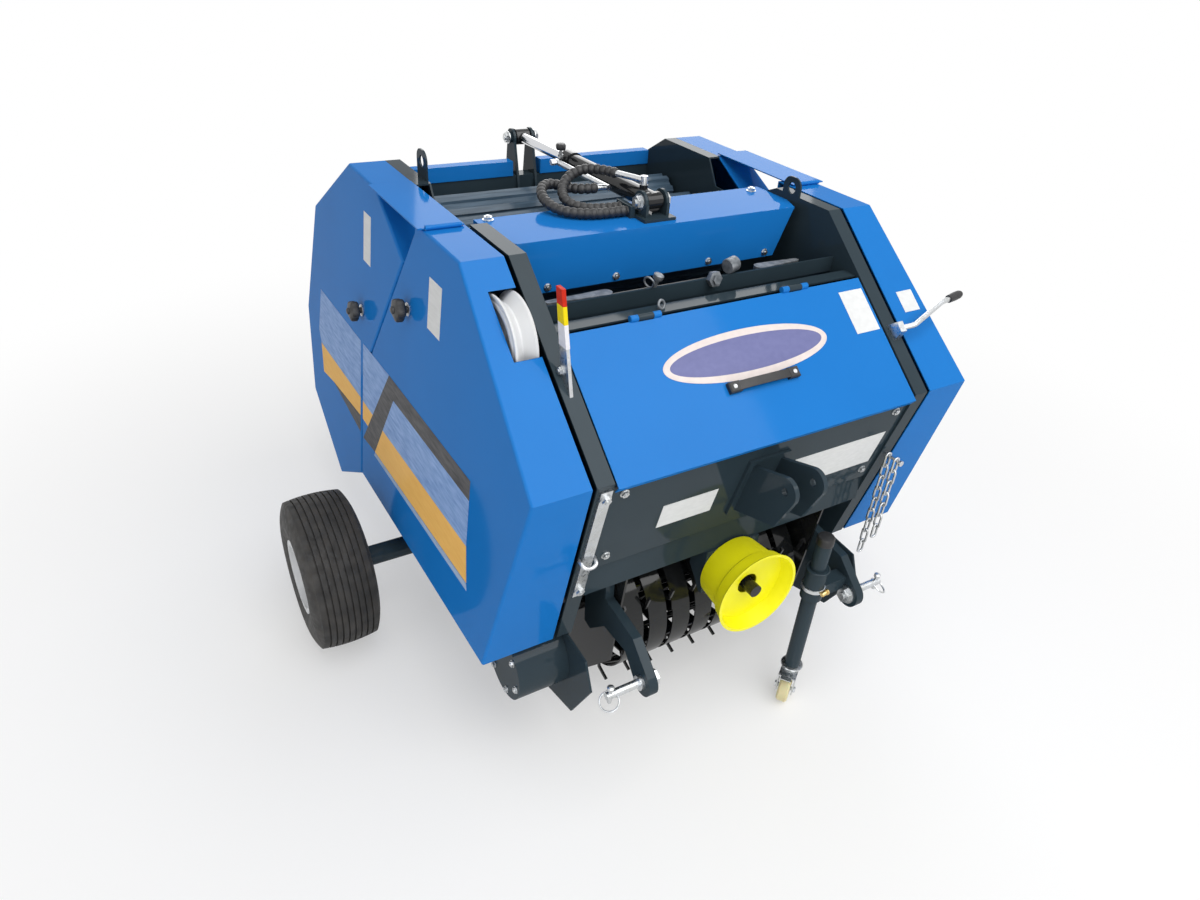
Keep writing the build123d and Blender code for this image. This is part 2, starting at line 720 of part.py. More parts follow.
# Top link bracket on a tapered plate that lies on the panel
MAST_TOP_Z = 880
MAST_LOW_Z = 700
MAST_TOP_X = 62
MAST_LOW_X = 66
MAST_T = 8
EAR_CORNER = (-868, 757)
SLOPE_RUN = (FRONT_FOOT[0] - NOSE[0], FRONT_FOOT[1] - NOSE[1])
with BuildPart() as top_link_bracket:
    mast_plane = Plane(origin=(0, *low_slope(MAST_LOW_Z, PANEL_INSET)), x_dir=(1, 0, 0),
                       z_dir=(0, SLOPE_RUN[1], -SLOPE_RUN[0]))
    mast_h = math.dist(low_slope(MAST_LOW_Z), low_slope(MAST_TOP_Z))
    with BuildSketch(mast_plane):
        Polygon([(-MAST_LOW_X, 0), (MAST_LOW_X, 0), (MAST_TOP_X, mast_h), (-MAST_TOP_X, mast_h)])
    extrude(amount=MAST_T)
    for end in (-1, 1):
        with BuildSketch(Plane.YZ.offset(end * TOP_LINK_X)):
            with Locations(TOP_LINK):
                Circle(TOP_LINK_R)
            Polygon(
                [
                    low_slope(MAST_TOP_Z - 20, PANEL_INSET - 4),
                    EAR_CORNER,
                    low_slope(MAST_LOW_Z + 9, PANEL_INSET - 4),
                ]
            )
            make_hull()
            with Locations(TOP_LINK):
                Circle(TOP_LINK_BORE_R, mode=Mode.SUBTRACT)
        extrude(amount=end * TOP_LINK_T)
write(top_link_bracket.part, "top_link_bracket")

# Lower hitch arms: thick dog-leg plates under the cross tube
ARM_TOP_Z = CROSS_TUBE[1] - CROSS_TUBE_W / 2
ARM = [
    (CROSS_TUBE[0] + 5, ARM_TOP_Z),
    (CROSS_TUBE[0] + 38, ARM_TOP_Z),
    (CROSS_TUBE[0] + 100, 470),
    (CROSS_TUBE[0] + 90, 330),
    (CROSS_TUBE[0] + 60, 325),
    (CROSS_TUBE[0] - 5, 392),
    (LINK_PIN[0] + 78, 398),
    (LINK_PIN[0] + 20, LINK_PIN[1] - 32),
    (LINK_PIN[0] - 24, LINK_PIN[1] + 30),
    (LINK_PIN[0] + 52, 462),
    (CROSS_TUBE[0], 480),
]
for name, side in SIDES.items():
    with BuildPart() as hitch_arm:
        arm_in = ARM_X - ARM_T / 2
        with BuildSketch(Plane.YZ.offset(side * arm_in)):
            Polygon(ARM)
            with Locations(LINK_PIN):
                Circle(ARM_EYE_R)
                Circle(LINK_PIN_R + PIN_FIT, mode=Mode.SUBTRACT)
        extrude(amount=side * ARM_T)
    write(hitch_arm.part, f"hitch_arm_{name}")

# Lower link pins: shank, collar, free end and nut
with BuildPart() as hitch_pins:
    for side in SIDES.values():
        arm_out = ARM_X + ARM_T / 2
        arm_in = ARM_X - ARM_T / 2
        rod_x(side * (arm_in - NUT_W), side * LINK_PIN_TIP_X, LINK_PIN, LINK_PIN_R)
        rod_x(side * LINK_PIN_TIP_X, side * LINK_PIN_END_X, LINK_PIN, LINK_PIN_TIP_R)
        rod_x(side * arm_out, side * (arm_out + COLLAR_W), LINK_PIN, LINK_PIN_R + 8)
        rod_x(side * (arm_in - NUT_W), side * arm_in, LINK_PIN, LINK_PIN_R + 6)
write(hitch_pins.part, "hitch_pins")

# Gearbox under the cross tube, with the yellow guard in front and the input shaft
GEARBOX_W = 170
GEARBOX_FRONT_Y = CROSS_TUBE[0] - 46
GEARBOX_BACK = [around(REEL, REEL_TIP_R + REEL_ROOM, degrees) for degrees in (149, 140, 131)]
with BuildPart() as gearbox:
    slab(
        [
            (GEARBOX_FRONT_Y, ARM_TOP_Z),
            (GEARBOX_FRONT_Y, GEARBOX_BACK[0][1]),
            *GEARBOX_BACK,
            (GEARBOX_BACK[-1][0], ARM_TOP_Z),
        ],
        -GEARBOX_W / 2,
        GEARBOX_W / 2,
    )
    with Locations((0, GEARBOX_FRONT_Y, PTO_Z)):
        Cylinder(FLANGE_R, 2 * FLANGE_W, rotation=(90, 0, 0))
        Cylinder(JOURNAL_R + SHAFT_CLEAR, 2 * SHAFT_IN, rotation=(90, 0, 0), mode=Mode.SUBTRACT)
write(gearbox.part, "gearbox")

with BuildPart() as pto_shaft:
    with BuildSketch(Plane.XZ.offset(-(GEARBOX_FRONT_Y + SHAFT_IN - 1))):
        with Locations((0, PTO_Z)):
            Circle(JOURNAL_R)
    extrude(amount=SHAFT_IN - 1 + FLANGE_W)
    with BuildSketch(Plane.XZ.offset(-(GEARBOX_FRONT_Y - FLANGE_W - 0.3))):
        with Locations((0, PTO_Z)):
            Circle(PTO_SHAFT_R)
    extrude(amount=SHAFT_L)
    with BuildSketch(Plane.XZ.offset(-(GEARBOX_FRONT_Y - FLANGE_W))):
        with Locations((0, PTO_Z)):
            Circle(JOURNAL_R)
    extrude(amount=1)
write(pto_shaft.part, "pto_shaft")

GUARD_BACK_Y = GEARBOX_FRONT_Y - 0.2
GUARD_T = 4
GUARD_WALL_Y = GUARD_FRONT_Y + 44
with BuildPart() as pto_guard:
    with BuildSketch(Plane.YZ):
        with BuildLine():
            Polyline(
                (GUARD_BACK_Y, PTO_Z + FLANGE_R + 0.2),
                (GUARD_BACK_Y, PTO_Z + GUARD_R - 28),
                (GUARD_WALL_Y, PTO_Z + GUARD_R - 21),
                (GUARD_WALL_Y - 8, PTO_Z + GUARD_R - 12),
                (GUARD_FRONT_Y + 6, PTO_Z + GUARD_R - 4),
                (GUARD_FRONT_Y, PTO_Z + GUARD_R),
                (GUARD_FRONT_Y, PTO_Z + GUARD_R - 8),
                (GUARD_WALL_Y - 6, PTO_Z + GUARD_R - 18),
                (GUARD_WALL_Y, PTO_Z + 30),
                (GUARD_WALL_Y + GUARD_T, PTO_Z + 30),
                (GUARD_WALL_Y + GUARD_T, PTO_Z + GUARD_R - 26),
                (GUARD_BACK_Y - GUARD_T, PTO_Z + GUARD_R - 33),
                (GUARD_BACK_Y - GUARD_T, PTO_Z + FLANGE_R + 0.2),
                close=True,
            )
        make_face()
    revolve(axis=Axis((0, 0, PTO_Z), (0, 1, 0)))
write(pto_guard.part, "pto_guard")


# Pick-up reel: tube, end discs, tine bars and bent tines
def tine(bar_turn):
    """Outline of one flat tine: it leaves its bar, runs outwards and bends back at the tip."""
    return [
        around(REEL, REEL_BAR_R, bar_turn - 3),
        around(REEL, REEL_BAR_R, bar_turn + 2),
        around(REEL, REEL_TIP_R - TINE_BEND, bar_turn + 5),
        around(REEL, REEL_TIP_R, bar_turn - 3),
        around(REEL, REEL_TIP_R - TINE_T, bar_turn - 5),
        around(REEL, REEL_TIP_R - TINE_BEND - TINE_T, bar_turn + 2),
    ]


TINE_XS = [(k - (TINE_COUNT - 1) / 2) * TINE_PITCH for k in range(TINE_COUNT)]
REEL_TURNS = [REEL_FIRST + k * 360 / REEL_BARS for k in range(REEL_BARS)]
with BuildPart() as pickup_reel:
    rod_x(-REEL_X, REEL_X, REEL, REEL_TUBE_R)
    for end in (-1, 1):
        rod_x(end * REEL_X, end * (REEL_X - 8), REEL, REEL_BAR_R + 16)
    for bar_turn in REEL_TURNS:
        rod_x(-REEL_X, REEL_X, around(REEL, REEL_BAR_R, bar_turn), REEL_BAR_THICK_R)
        for x in TINE_XS:
            slab(tine(bar_turn), x - TINE_W / 2, x + TINE_W / 2)
    rod_x(-FRONT_WEB_X - PLATE_T, END_PLATE_X + END_PLATE_T, REEL, REEL_SHAFT_R)
write(pickup_reel.part, "pickup_reel")

# Stripper bands between the tines: round the front of the reel and straight back to two carrier bars
BAND_REACH = math.sqrt((REEL_TIP_R + REEL_ROOM + BAND_BAR_R) ** 2 - (BAND_R - BAND_BAR_R) ** 2) + 4
with BuildPart() as stripper_bands:
    for k in range(TINE_COUNT - 1):
        x = TINE_XS[k] + TINE_PITCH / 2
        with BuildSketch(Plane.YZ.offset(x - BAND_W / 2)) as band:
            with Locations(REEL):
                Circle(BAND_R + BAND_T)
            with Locations((REEL[0] + BAND_REACH / 2, REEL[1])):
                Rectangle(BAND_REACH, 2 * (BAND_R + BAND_T))
            with Locations(REEL):
                Circle(BAND_R, mode=Mode.SUBTRACT)
            with Locations((REEL[0] + BAND_R, REEL[1])):
                Rectangle(2 * BAND_R, 2 * BAND_R, mode=Mode.SUBTRACT)
        extrude(amount=BAND_W)
    for level in (-1, 1):
        bar = (REEL[0] + BAND_REACH - BAND_BAR_R, REEL[1] + level * (BAND_R - BAND_BAR_R))
        rod_x(-END_PLATE_X, END_PLATE_X, bar, BAND_BAR_R + BAND_T / 2)
write(stripper_bands.part, "stripper_bands")

# End plates of the pick-up, hung from the cross tube
END_PLATE = [
    (CROSS_TUBE[0] + 38, ARM_TOP_Z),
    (CROSS_TUBE[0] - 38, ARM_TOP_Z),
    (CROSS_TUBE[0] - 20, 420),
    (REEL[0] - 172, REEL[1] - 60),
    (REEL[0] - 70, REEL[1] - BAND_R),
    (REEL[0] + BAND_REACH + 8, REEL[1] - BAND_R),
    (REEL[0] + BAND_REACH + 8, REEL[1] + BAND_R),
]
with BuildPart() as pickup_ends:
    for side in SIDES.values():
        slab(END_PLATE, END_PLATE_X, END_PLATE_X + END_PLATE_T, side)
        hole_x = END_PLATE_X - 10
        rod_x(side * hole_x, side * (hole_x + 30), REEL, REEL_SHAFT_R + SHAFT_CLEAR, Mode.SUBTRACT)
write(pickup_ends.part, "pickup_ends")

# End shields of the pick-up, and the round drive cover beside the left one
SHIELD_T = 6
SHIELD = [
    (FRONT_FOOT[0] + 60, FRONT_FOOT[1] - 8),
    (-742, 385),
    (-777, 310),
    (-692, 150),
    (-560, 112),
    (-400, 140),
    (-370, 300),
    (-420, FRONT_FOOT[1] - 20),
]
SHIELD_X = FRONT_WEB_X + PLATE_T
for name, side in SIDES.items():
    with BuildPart() as pickup_shield:
        slab(SHIELD, SHIELD_X, SHIELD_X + SHIELD_T, side)
    write(pickup_shield.part, f"pickup_shield_{name}")

DRUM = (-575, 285)
DRUM_R = 95
DRUM_W = 140
with BuildPart() as drive_drum:
    drum_x = SHIELD_X + SHIELD_T
    rod_x(-drum_x, -drum_x - DRUM_W, DRUM, DRUM_R)
write(drive_drum.part, "drive_drum")

# Feed pan from the pick-up to the chamber
with BuildPart() as feed_pan:
    feed_from = (REEL[0] + BAND_REACH + 16, REEL[1] + BAND_R - 6)
    strip([feed_from, (40, 492)], 4, -FRONT_WEB_X, FRONT_WEB_X)
write(feed_pan.part, "feed_pan")

# Axle: a round tube through both side plates, with stub ends
with BuildPart() as axle:
    rod_x(-AXLE_END_X, AXLE_END_X, AXLE, AXLE_R)
    rod_x(-STUB_END_X, STUB_END_X, AXLE, STUB_R)
write(axle.part, "axle")

# Wheels: rim with hub, and tyre
RIM_W = 180
RIM_T = 5
TREAD_INSET = 24
BEAD_IN = 5
HUB_R = 42
HUB_IN_X = AXLE_END_X + 1
wheel_axis = Axis((0, *AXLE), (1, 0, 0))
for name, side in SIDES.items():
    with BuildPart() as rim:
        with BuildSketch(Plane.XZ.offset(-AXLE[0])):
            near = side * (TRACK_X - RIM_W / 2)
            far = side * (TRACK_X + RIM_W / 2)
            low = AXLE[1]
            disc = side * (TRACK_X + 5)
            hub_in = side * HUB_IN_X
            hub_out = side * (STUB_END_X + 30)
            Polygon(
                [
                    (hub_in, low + STUB_R + HUB_CLEAR),
                    (hub_in, low + HUB_R),
                    (disc, low + HUB_R),
                    (disc, low + RIM_R - 16),
                    (near, low + RIM_R - 8),
                    (near, low + RIM_R + 8),
                    (near + side * RIM_T, low + RIM_R + 8),
                    (near + side * RIM_T, low + RIM_R - 2),
                    (far - side * RIM_T, low + RIM_R - 2),
                    (far - side * RIM_T, low + RIM_R + 8),
                    (far, low + RIM_R + 8),
                    (far, low + RIM_R - 8),
                    (disc + side * RIM_T, low + RIM_R - 16),
                    (disc + side * RIM_T, low + HUB_R - 10),
                    (hub_out, low + HUB_R - 14),
                    (hub_out, low),
                    (hub_out - side * RIM_T, low),
                    (hub_out - side * RIM_T, low + STUB_R + HUB_CLEAR),
                ]
            )
        revolve(axis=wheel_axis)
    write(rim.part, f"rim_{name}")
    with BuildPart() as tyre:
        with BuildSketch(Plane.XZ.offset(-AXLE[0])):
            side_profile = [
                (RIM_W / 2 - RIM_T - BEAD_IN, RIM_R - 2 + TYRE_SEAT),
                (TYRE_W / 2, (RIM_R + TYRE_R) / 2),
                (TYRE_W / 2 - TREAD_INSET, TYRE_R),
            ]
            outer_half = [(side * TRACK_X + out, AXLE[1] + up) for out, up in side_profile]
            inner_half = [(side * TRACK_X - out, AXLE[1] + up) for out, up in reversed(side_profile)]
            Polygon(outer_half + inner_half)
        revolve(axis=wheel_axis)
    write(tyre.part, f"tyre_{name}")

# Parking jack: sleeve on the right arm, sliding leg, castor fork and wheel
with BuildPart() as jack_sleeve:
    with Locations((JACK[0], JACK[1], SLEEVE_LOW_Z)):
        Cylinder(SLEEVE_R, SLEEVE_TOP_Z - SLEEVE_LOW_Z, align=(Align.CENTER, Align.CENTER, Align.MIN))
    arm_in = ARM_X - ARM_T / 2
    with Locations(((JACK[0] + arm_in) / 2, JACK[1], SLEEVE_LOW_Z + 22)):
        Box(arm_in - JACK[0], 40, 40)
    with Locations((JACK[0], JACK[1], SLEEVE_LOW_Z - 1)):
        Cylinder(LEG_R + LEG_CLEAR, SLEEVE_TOP_Z, align=(Align.CENTER, Align.CENTER, Align.MIN),
                 mode=Mode.SUBTRACT)
write(jack_sleeve.part, "jack_sleeve")

with BuildPart() as jack_leg:
    with Locations((JACK[0], JACK[1], LEG_LOW_Z)):
        Cylinder(LEG_R, LEG_TOP_Z - LEG_LOW_Z, align=(Align.CENTER, Align.CENTER, Align.MIN))
write(jack_leg.part, "jack_leg")

turn = math.radians(CASTOR_TURN)
castor_plane = Plane(origin=(JACK[0], JACK[1], 0), x_dir=(math.cos(turn), math.sin(turn), 0), z_dir=(0, 0, 1))
FORK_T = 4
FORK_TOP_Z = LEG_LOW_Z - 6
fork_in = CASTOR_W / 2 + 5
with BuildPart(castor_plane) as castor_fork:
    with Locations((0, 0, FORK_TOP_Z)):
        Cylinder(24, 5.7, align=(Align.CENTER, Align.CENTER, Align.MIN))
    with Locations((-CASTOR_TRAIL / 2, 0, FORK_TOP_Z - FORK_T / 2)):
        Box(CASTOR_TRAIL + 40, 2 * (fork_in + FORK_T), FORK_T)
    for end in (-1, 1):
        with Locations((-CASTOR_TRAIL, end * (fork_in + FORK_T / 2), (FORK_TOP_Z + CASTOR_R) / 2 - 6)):
            Box(30, FORK_T, FORK_TOP_Z - CASTOR_R + 12)
    with Locations((-CASTOR_TRAIL, 0, CASTOR_R)):
        Cylinder(6, 2 * fork_in + 16, rotation=(90, 0, 0))
write(castor_fork.part, "castor_fork")

with BuildPart(castor_plane) as castor_wheel:
    with Locations((-CASTOR_TRAIL, 0, CASTOR_R)):
        Cylinder(CASTOR_R, CASTOR_W, rotation=(90, 0, 0))
        Cylinder(6.1, 2 * CASTOR_W, rotation=(90, 0, 0), mode=Mode.SUBTRACT)
    chamfer(castor_wheel.edges().filter_by(GeomType.CIRCLE).group_by(SortBy.RADIUS)[-1], 5)
write(castor_wheel.part, "castor_wheel")

SLOPE_L = math.dist(TOP_FRONT, NOSE)
SLOPE_DOWN = ((NOSE[0] - TOP_FRONT[0]) / SLOPE_L, (NOSE[1] - TOP_FRONT[1]) / SLOPE_L)


def slope_point(along, up):
    """Point on the strips' upper slope: distance down from its top corner and height over it."""
    y = TOP_FRONT[0] + SLOPE_DOWN[0] * along + SLOPE_DOWN[1] * up
    z = TOP_FRONT[1] + SLOPE_DOWN[1] * along - SLOPE_DOWN[0] * up
    return (y, z)


# Lever on the right strip: bent zinc rod on a small bracket
LEVER_R = 7
LEVER_X = 464
LEVER_AT = 367
LEVER_POINTS = [
    (LEVER_X, *slope_point(LEVER_AT, 20)),
    (LEVER_X + 36, *slope_point(LEVER_AT + 6, 40)),
    (LEVER_X + 160, *slope_point(LEVER_AT - 36, 44)),
    (LEVER_X + 236, *slope_point(LEVER_AT - 47, 44)),
]
with BuildPart() as lever:
    with BuildLine() as lever_path:
        FilletPolyline(*LEVER_POINTS, radius=20)
    with BuildSketch(Plane(origin=lever_path.line @ 0, z_dir=lever_path.line % 0)):
        Circle(LEVER_R)
    sweep(path=lever_path.line)
    slab(
        [
            slope_point(LEVER_AT - 22, 0),
            slope_point(LEVER_AT + 22, 0),
            slope_point(LEVER_AT + 14, 34),
            slope_point(LEVER_AT - 14, 34),
        ],
        LEVER_X - 10,
        LEVER_X + 10,
    )
write(lever.part, "lever")

# Bale indicator on the left strip: slotted zinc bracket with an upright flat bar
INDICATOR_X = 465
INDICATOR_AT = 301
INDICATOR_TOP_Z = 1290
with BuildPart() as indicator:
    slab(
        [
            slope_point(INDICATOR_AT + 40, 0),
            slope_point(INDICATOR_AT - 14, 0),
            (slope_point(INDICATOR_AT, 0)[0] + 44, INDICATOR_TOP_Z),
            (slope_point(INDICATOR_AT, 0)[0] + 22, INDICATOR_TOP_Z),
        ],
        INDICATOR_X - 4,
        INDICATOR_X + 4,
        -1,
    )
write(indicator.part, "indicator")

# Flat zinc bar on the left strip's lower slope
HANGER_TOP_Z = 936
HANGER_LOW_Z = 575
HANGER_T = 7
with BuildPart() as hanger_bar:
    slab(
        [
            low_slope(HANGER_TOP_Z),
            low_slope(HANGER_TOP_Z, -HANGER_T),
            low_slope(HANGER_LOW_Z, -HANGER_T),
            low_slope(HANGER_LOW_Z),
        ],
        -(FRONT_WEB_X + 34),
        -(FRONT_WEB_X + 6),
    )
write(hanger_bar.part, "hanger_bar")

# Check chain: two loose strands that hang from a bolt on the right strip
CHAIN_WIRE = 6.5
CHAIN_IN_L = 38
CHAIN_IN_W = 11
CHAIN_CORNER = 6
CHAIN_PLAY = 0.5
CHAIN_PITCH = CHAIN_IN_L - CHAIN_PLAY
CHAIN_X = 461
CHAIN_TOP_Z = 737
CHAIN_STRANDS = {14: 9, 42: 7}
HOOK_R = 4
HOOK_L = 56


def link(place, normal):
    """One link with cut corners, hanging in the plane across a direction."""
    with BuildSketch(Plane(origin=place, x_dir=(0, 0, 1), z_dir=normal).offset(-CHAIN_WIRE / 2)) as oval:
        Rectangle(CHAIN_IN_L + 2 * CHAIN_WIRE, CHAIN_IN_W + 2 * CHAIN_WIRE)
        chamfer(oval.vertices(), CHAIN_CORNER)
        offset(amount=-CHAIN_WIRE, kind=Kind.INTERSECTION, mode=Mode.SUBTRACT)
    extrude(oval.sketch, amount=CHAIN_WIRE)


with BuildPart() as check_chain:
    hook_y = low_slope(CHAIN_TOP_Z)[0]
    with Locations((CHAIN_X, hook_y, CHAIN_TOP_Z)):
        Cylinder(HOOK_R, 2 * HOOK_L, rotation=(90, 0, 0))
    strip_face = Plane(origin=(0, *low_slope(CHAIN_TOP_Z)), z_dir=(0, SLOPE_RUN[1], -SLOPE_RUN[0]))
    split(bisect_by=strip_face, keep=Keep.TOP)
    with Locations((CHAIN_X, hook_y - HOOK_L, CHAIN_TOP_Z)):
        Cylinder(2 * HOOK_R, HOOK_R, rotation=(90, 0, 0))
    first_z = CHAIN_TOP_Z + HOOK_R + CHAIN_PLAY - CHAIN_IN_L / 2
    for reach, count in CHAIN_STRANDS.items():
        for k in range(count):
            link((CHAIN_X, hook_y - reach, first_z - k * CHAIN_PITCH), (1, 0, 0) if k % 2 else (0, 1, 0))
write(check_chain.part, "check_chain")

# Twine pulley in the notch of the left front cover, on a stub shaft
with BuildPart() as pulley_shaft:
    rod_x(-(FRONT_WEB_X + PLATE_T), -(PULLEY_IN_X + PULLEY_W + 8), PULLEY, PULLEY_SHAFT_R)
write(pulley_shaft.part, "pulley_shaft")

with BuildPart() as twine_pulley:
    with BuildSketch(Plane.XZ.offset(-PULLEY[0])):
        Polygon(
            [
                (-PULLEY_IN_X, PULLEY[1] + PULLEY_SHAFT_R + SHAFT_CLEAR),
                (-PULLEY_IN_X, PULLEY[1] + PULLEY_R),
                (-PULLEY_IN_X - 8, PULLEY[1] + PULLEY_R),
                (-PULLEY_IN_X - PULLEY_W / 2, PULLEY[1] + PULLEY_R - 22),
                (-PULLEY_IN_X - PULLEY_W + 8, PULLEY[1] + PULLEY_R),
                (-PULLEY_IN_X - PULLEY_W, PULLEY[1] + PULLEY_R),
                (-PULLEY_IN_X - PULLEY_W, PULLEY[1] + PULLEY_SHAFT_R + SHAFT_CLEAR),
            ]
        )
    revolve(axis=Axis((0, *PULLEY), (1, 0, 0)))
write(twine_pulley.part, "twine_pulley")

# Twine arms over the box: two cast arms on an angle bar
TYING_BAR = (-420, 1140)
with BuildPart() as tying_bar:
    slab(
        [
            (TYING_BAR[0], TYING_BAR[1]),
            (TYING_BAR[0] + 40, TYING_BAR[1]),
            (TYING_BAR[0] + 40, TYING_BAR[1] + 5),
            (TYING_BAR[0] + 5, TYING_BAR[1] + 5),
            (TYING_BAR[0] + 5, TYING_BAR[1] + 40),
            (TYING_BAR[0], TYING_BAR[1] + 40),
        ],
        -FRONT_WEB_X,
        FRONT_WEB_X,
    )
write(tying_bar.part, "tying_bar")

TWINE_POST_R = 16
TWINE_POST_H = 34
TWINE_TIP_R = 8
TWINE_ARM_T = 14
with BuildPart() as twine_arms:
    arm_y = TYING_BAR[0] + 24
    post_z = TYING_BAR[1] + 5
    for post_x, tip_x in ((-250, -400), (210, 330)):
        with Locations((post_x, arm_y, post_z)):
            Cylinder(TWINE_POST_R, TWINE_POST_H, align=(Align.CENTER, Align.CENTER, Align.MIN))
        with BuildSketch(Plane.XY.offset(post_z + TWINE_POST_H - TWINE_ARM_T)) as arm:
            with Locations((post_x, arm_y)):
                Circle(TWINE_POST_R)
            with Locations((tip_x, arm_y)):
                Circle(TWINE_TIP_R)
            make_hull()
        extrude(arm.sketch, amount=TWINE_ARM_T)
write(twine_arms.part, "twine_arms")

# Fittings of the lifting cylinder: the turned elbow on its base and the pipe along its left side
PIPE_UP = BARREL_R + PORT_H + PORT_R
PIPE_OUT = GLAND_R + PORT_H + PIPE_R
PIPE_L = 88
GLAND_PIPE_END = 150
ELBOW_L = 32
pipe_turn = math.radians(PIPE_TURN)
with BuildPart(ram_plane) as cylinder_fittings:
    with Locations((0, -BARREL_R - PORT_H - PORT_R, BASE_PORT)):
        Cylinder(PORT_R - 2, 2 * PORT_R, rotation=(90, 0, 0))
    with Locations((-PIPE_OUT, 0, (GLAND_PORT + GLAND_PIPE_END) / 2)):
        Cylinder(PIPE_R, GLAND_PORT - GLAND_PIPE_END + 2 * PORT_R)
    with Locations((-PIPE_OUT, 0, GLAND_PIPE_END)):
        Cylinder(PIPE_R, ELBOW_L, rotation=(0, -90, 0), align=(Align.CENTER, Align.CENTER, Align.MIN))
    elbow = Location((0, -PIPE_UP, BASE_PORT), (0, -PIPE_TURN, 0))
    with Locations(elbow):
        Cylinder(PIPE_R, PIPE_L, align=(Align.CENTER, Align.CENTER, Align.MIN))
write(cylinder_fittings.part, "cylinder_fittings")

# Hydraulic hoses: from the two fittings in loops to the left, and back along the beam to its bracket
def base_pipe_point(along):
    """Point on the line of the turned base pipe."""
    place = (-along * math.sin(pipe_turn), -PIPE_UP, BASE_PORT + along * math.cos(pipe_turn))
    return tuple(ram_plane.from_local_coords(place))


def gland_pipe_point(along):
    """Point on the line of the elbow at the front end of the side pipe."""
    return tuple(ram_plane.from_local_coords((-PIPE_OUT - along, 0, GLAND_PIPE_END)))


BASE_HOSE = [
    base_pipe_point(PIPE_L),
    base_pipe_point(PIPE_L + 46),
    (-100, -10, 1347),
    (-148, -14, 1334),
    (-186, -44, 1312),
    (-196, -88, 1292),
    (-172, -126, 1285),
    (-128, -150, 1285),
    (HOSE_END_X, -150, 1285),
]
GLAND_HOSE = [
    gland_pipe_point(ELBOW_L),
    gland_pipe_point(ELBOW_L + 28),
    (-140, -26, 1302),
    (-164, -2, 1306),
    (-196, 6, 1312),
    (-226, -14, 1311),
    (-246, -52, 1302),
    (-247, -100, 1291),
    (-224, -144, 1285),
    (-178, -174, 1285),
    (-121, -182, 1285),
    (HOSE_END_X, -182, 1285),
]


def bend_radii(route):
    """Largest radius that the two runs beside each inner point leave room for."""
    points = [Vector(*point) for point in route]
    radii = []
    for before, here, after in zip(points, points[1:], points[2:]):
        shorter = min((here - before).length, (after - here).length)
        half_turn = math.radians((here - before).get_angle(after - here)) / 2
        radii.append(0.45 * shorter / math.tan(half_turn))
    return radii


for name, route in {"hose_base": BASE_HOSE, "hose_gland": GLAND_HOSE}.items():
    radii = bend_radii(route)
    print(name, "radii", [round(radius) for radius in radii])
    with BuildPart() as hose:
        with BuildLine() as hose_path:
            FilletPolyline(*route, radius=radii)
        with BuildSketch(Plane(origin=hose_path.line @ 0, z_dir=hose_path.line % 0)):
            Circle(HOSE_R)
        sweep(path=hose_path.line)
    length = sum(edge.length for edge in hose_path.edges())
    print(name, "length", round(length), "fill", round(hose.part.volume / (math.pi * HOSE_R**2 * length), 4))
    write(hose.part, name)
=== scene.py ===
# %% [markdown]
# # A small round baler, dressed for its portrait
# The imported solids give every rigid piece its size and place. This lesson gives them paint, rubber,
# plastic and plated metal, and adds what is too small or too soft for the solids: hoses, tread,
# fasteners, knobs, stripes and blank plates. Lengths are in metres, the hitch points to -Y.

# %% Load the frame
import math

import bmesh
import bpy
from mathutils import Matrix, Vector


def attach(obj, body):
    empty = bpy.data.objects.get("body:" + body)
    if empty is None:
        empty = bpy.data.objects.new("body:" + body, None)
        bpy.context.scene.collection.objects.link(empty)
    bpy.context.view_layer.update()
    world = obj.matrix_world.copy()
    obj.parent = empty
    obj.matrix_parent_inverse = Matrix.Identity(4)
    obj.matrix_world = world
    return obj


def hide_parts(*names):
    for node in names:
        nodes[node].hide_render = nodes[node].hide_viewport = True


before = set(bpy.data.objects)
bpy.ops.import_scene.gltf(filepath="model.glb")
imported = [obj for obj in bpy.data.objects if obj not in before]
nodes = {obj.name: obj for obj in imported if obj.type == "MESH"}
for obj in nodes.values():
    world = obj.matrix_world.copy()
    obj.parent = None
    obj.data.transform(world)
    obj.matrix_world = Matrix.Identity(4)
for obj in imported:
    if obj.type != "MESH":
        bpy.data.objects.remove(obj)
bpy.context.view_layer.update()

# %% [markdown]
# ## Camera
# The photograph was taken from the front left, above the machine, with a short lens held a little
# askew. A camera could be aimed by eye, but one at the same place and with the same turn lets every
# later step be compared with the photograph.

# %% Camera at the photograph's place
CAMERA_PLACE = (-1.214, -1.921, 1.933)
CAMERA_AZIMUTH = math.radians(-32.744)
CAMERA_ELEVATION = math.radians(33.45)
CAMERA_ROLL = math.radians(4.351)
CAMERA_LENS = 24.94
CAMERA_SENSOR = 36

camera_data = bpy.data.cameras.new("camera")
camera_data.lens = CAMERA_LENS
camera_data.sensor_width = CAMERA_SENSOR
camera = bpy.data.objects.new("camera", camera_data)
camera.matrix_world = (
    Matrix.Translation(CAMERA_PLACE)
    @ Matrix.Rotation(CAMERA_AZIMUTH, 4, "Z")
    @ Matrix.Rotation(math.pi / 2 - CAMERA_ELEVATION, 4, "X")
    @ Matrix.Rotation(CAMERA_ROLL, 4, "Z")
)
bpy.context.collection.objects.link(camera)
bpy.context.scene.camera = camera
bpy.context.scene.view_settings.view_transform = "Standard"
print("camera at", CAMERA_PLACE, "lens", CAMERA_LENS)

# %% [markdown]
# ## A workbench for finishes
# Each finish is one Principled shader. What is the same all over is set on the shader's own sockets.
# What varies, such as the cloudiness of a paint film, could be painted on an image, but noise on
# Object coordinates needs no file and stays in place when a piece moves.


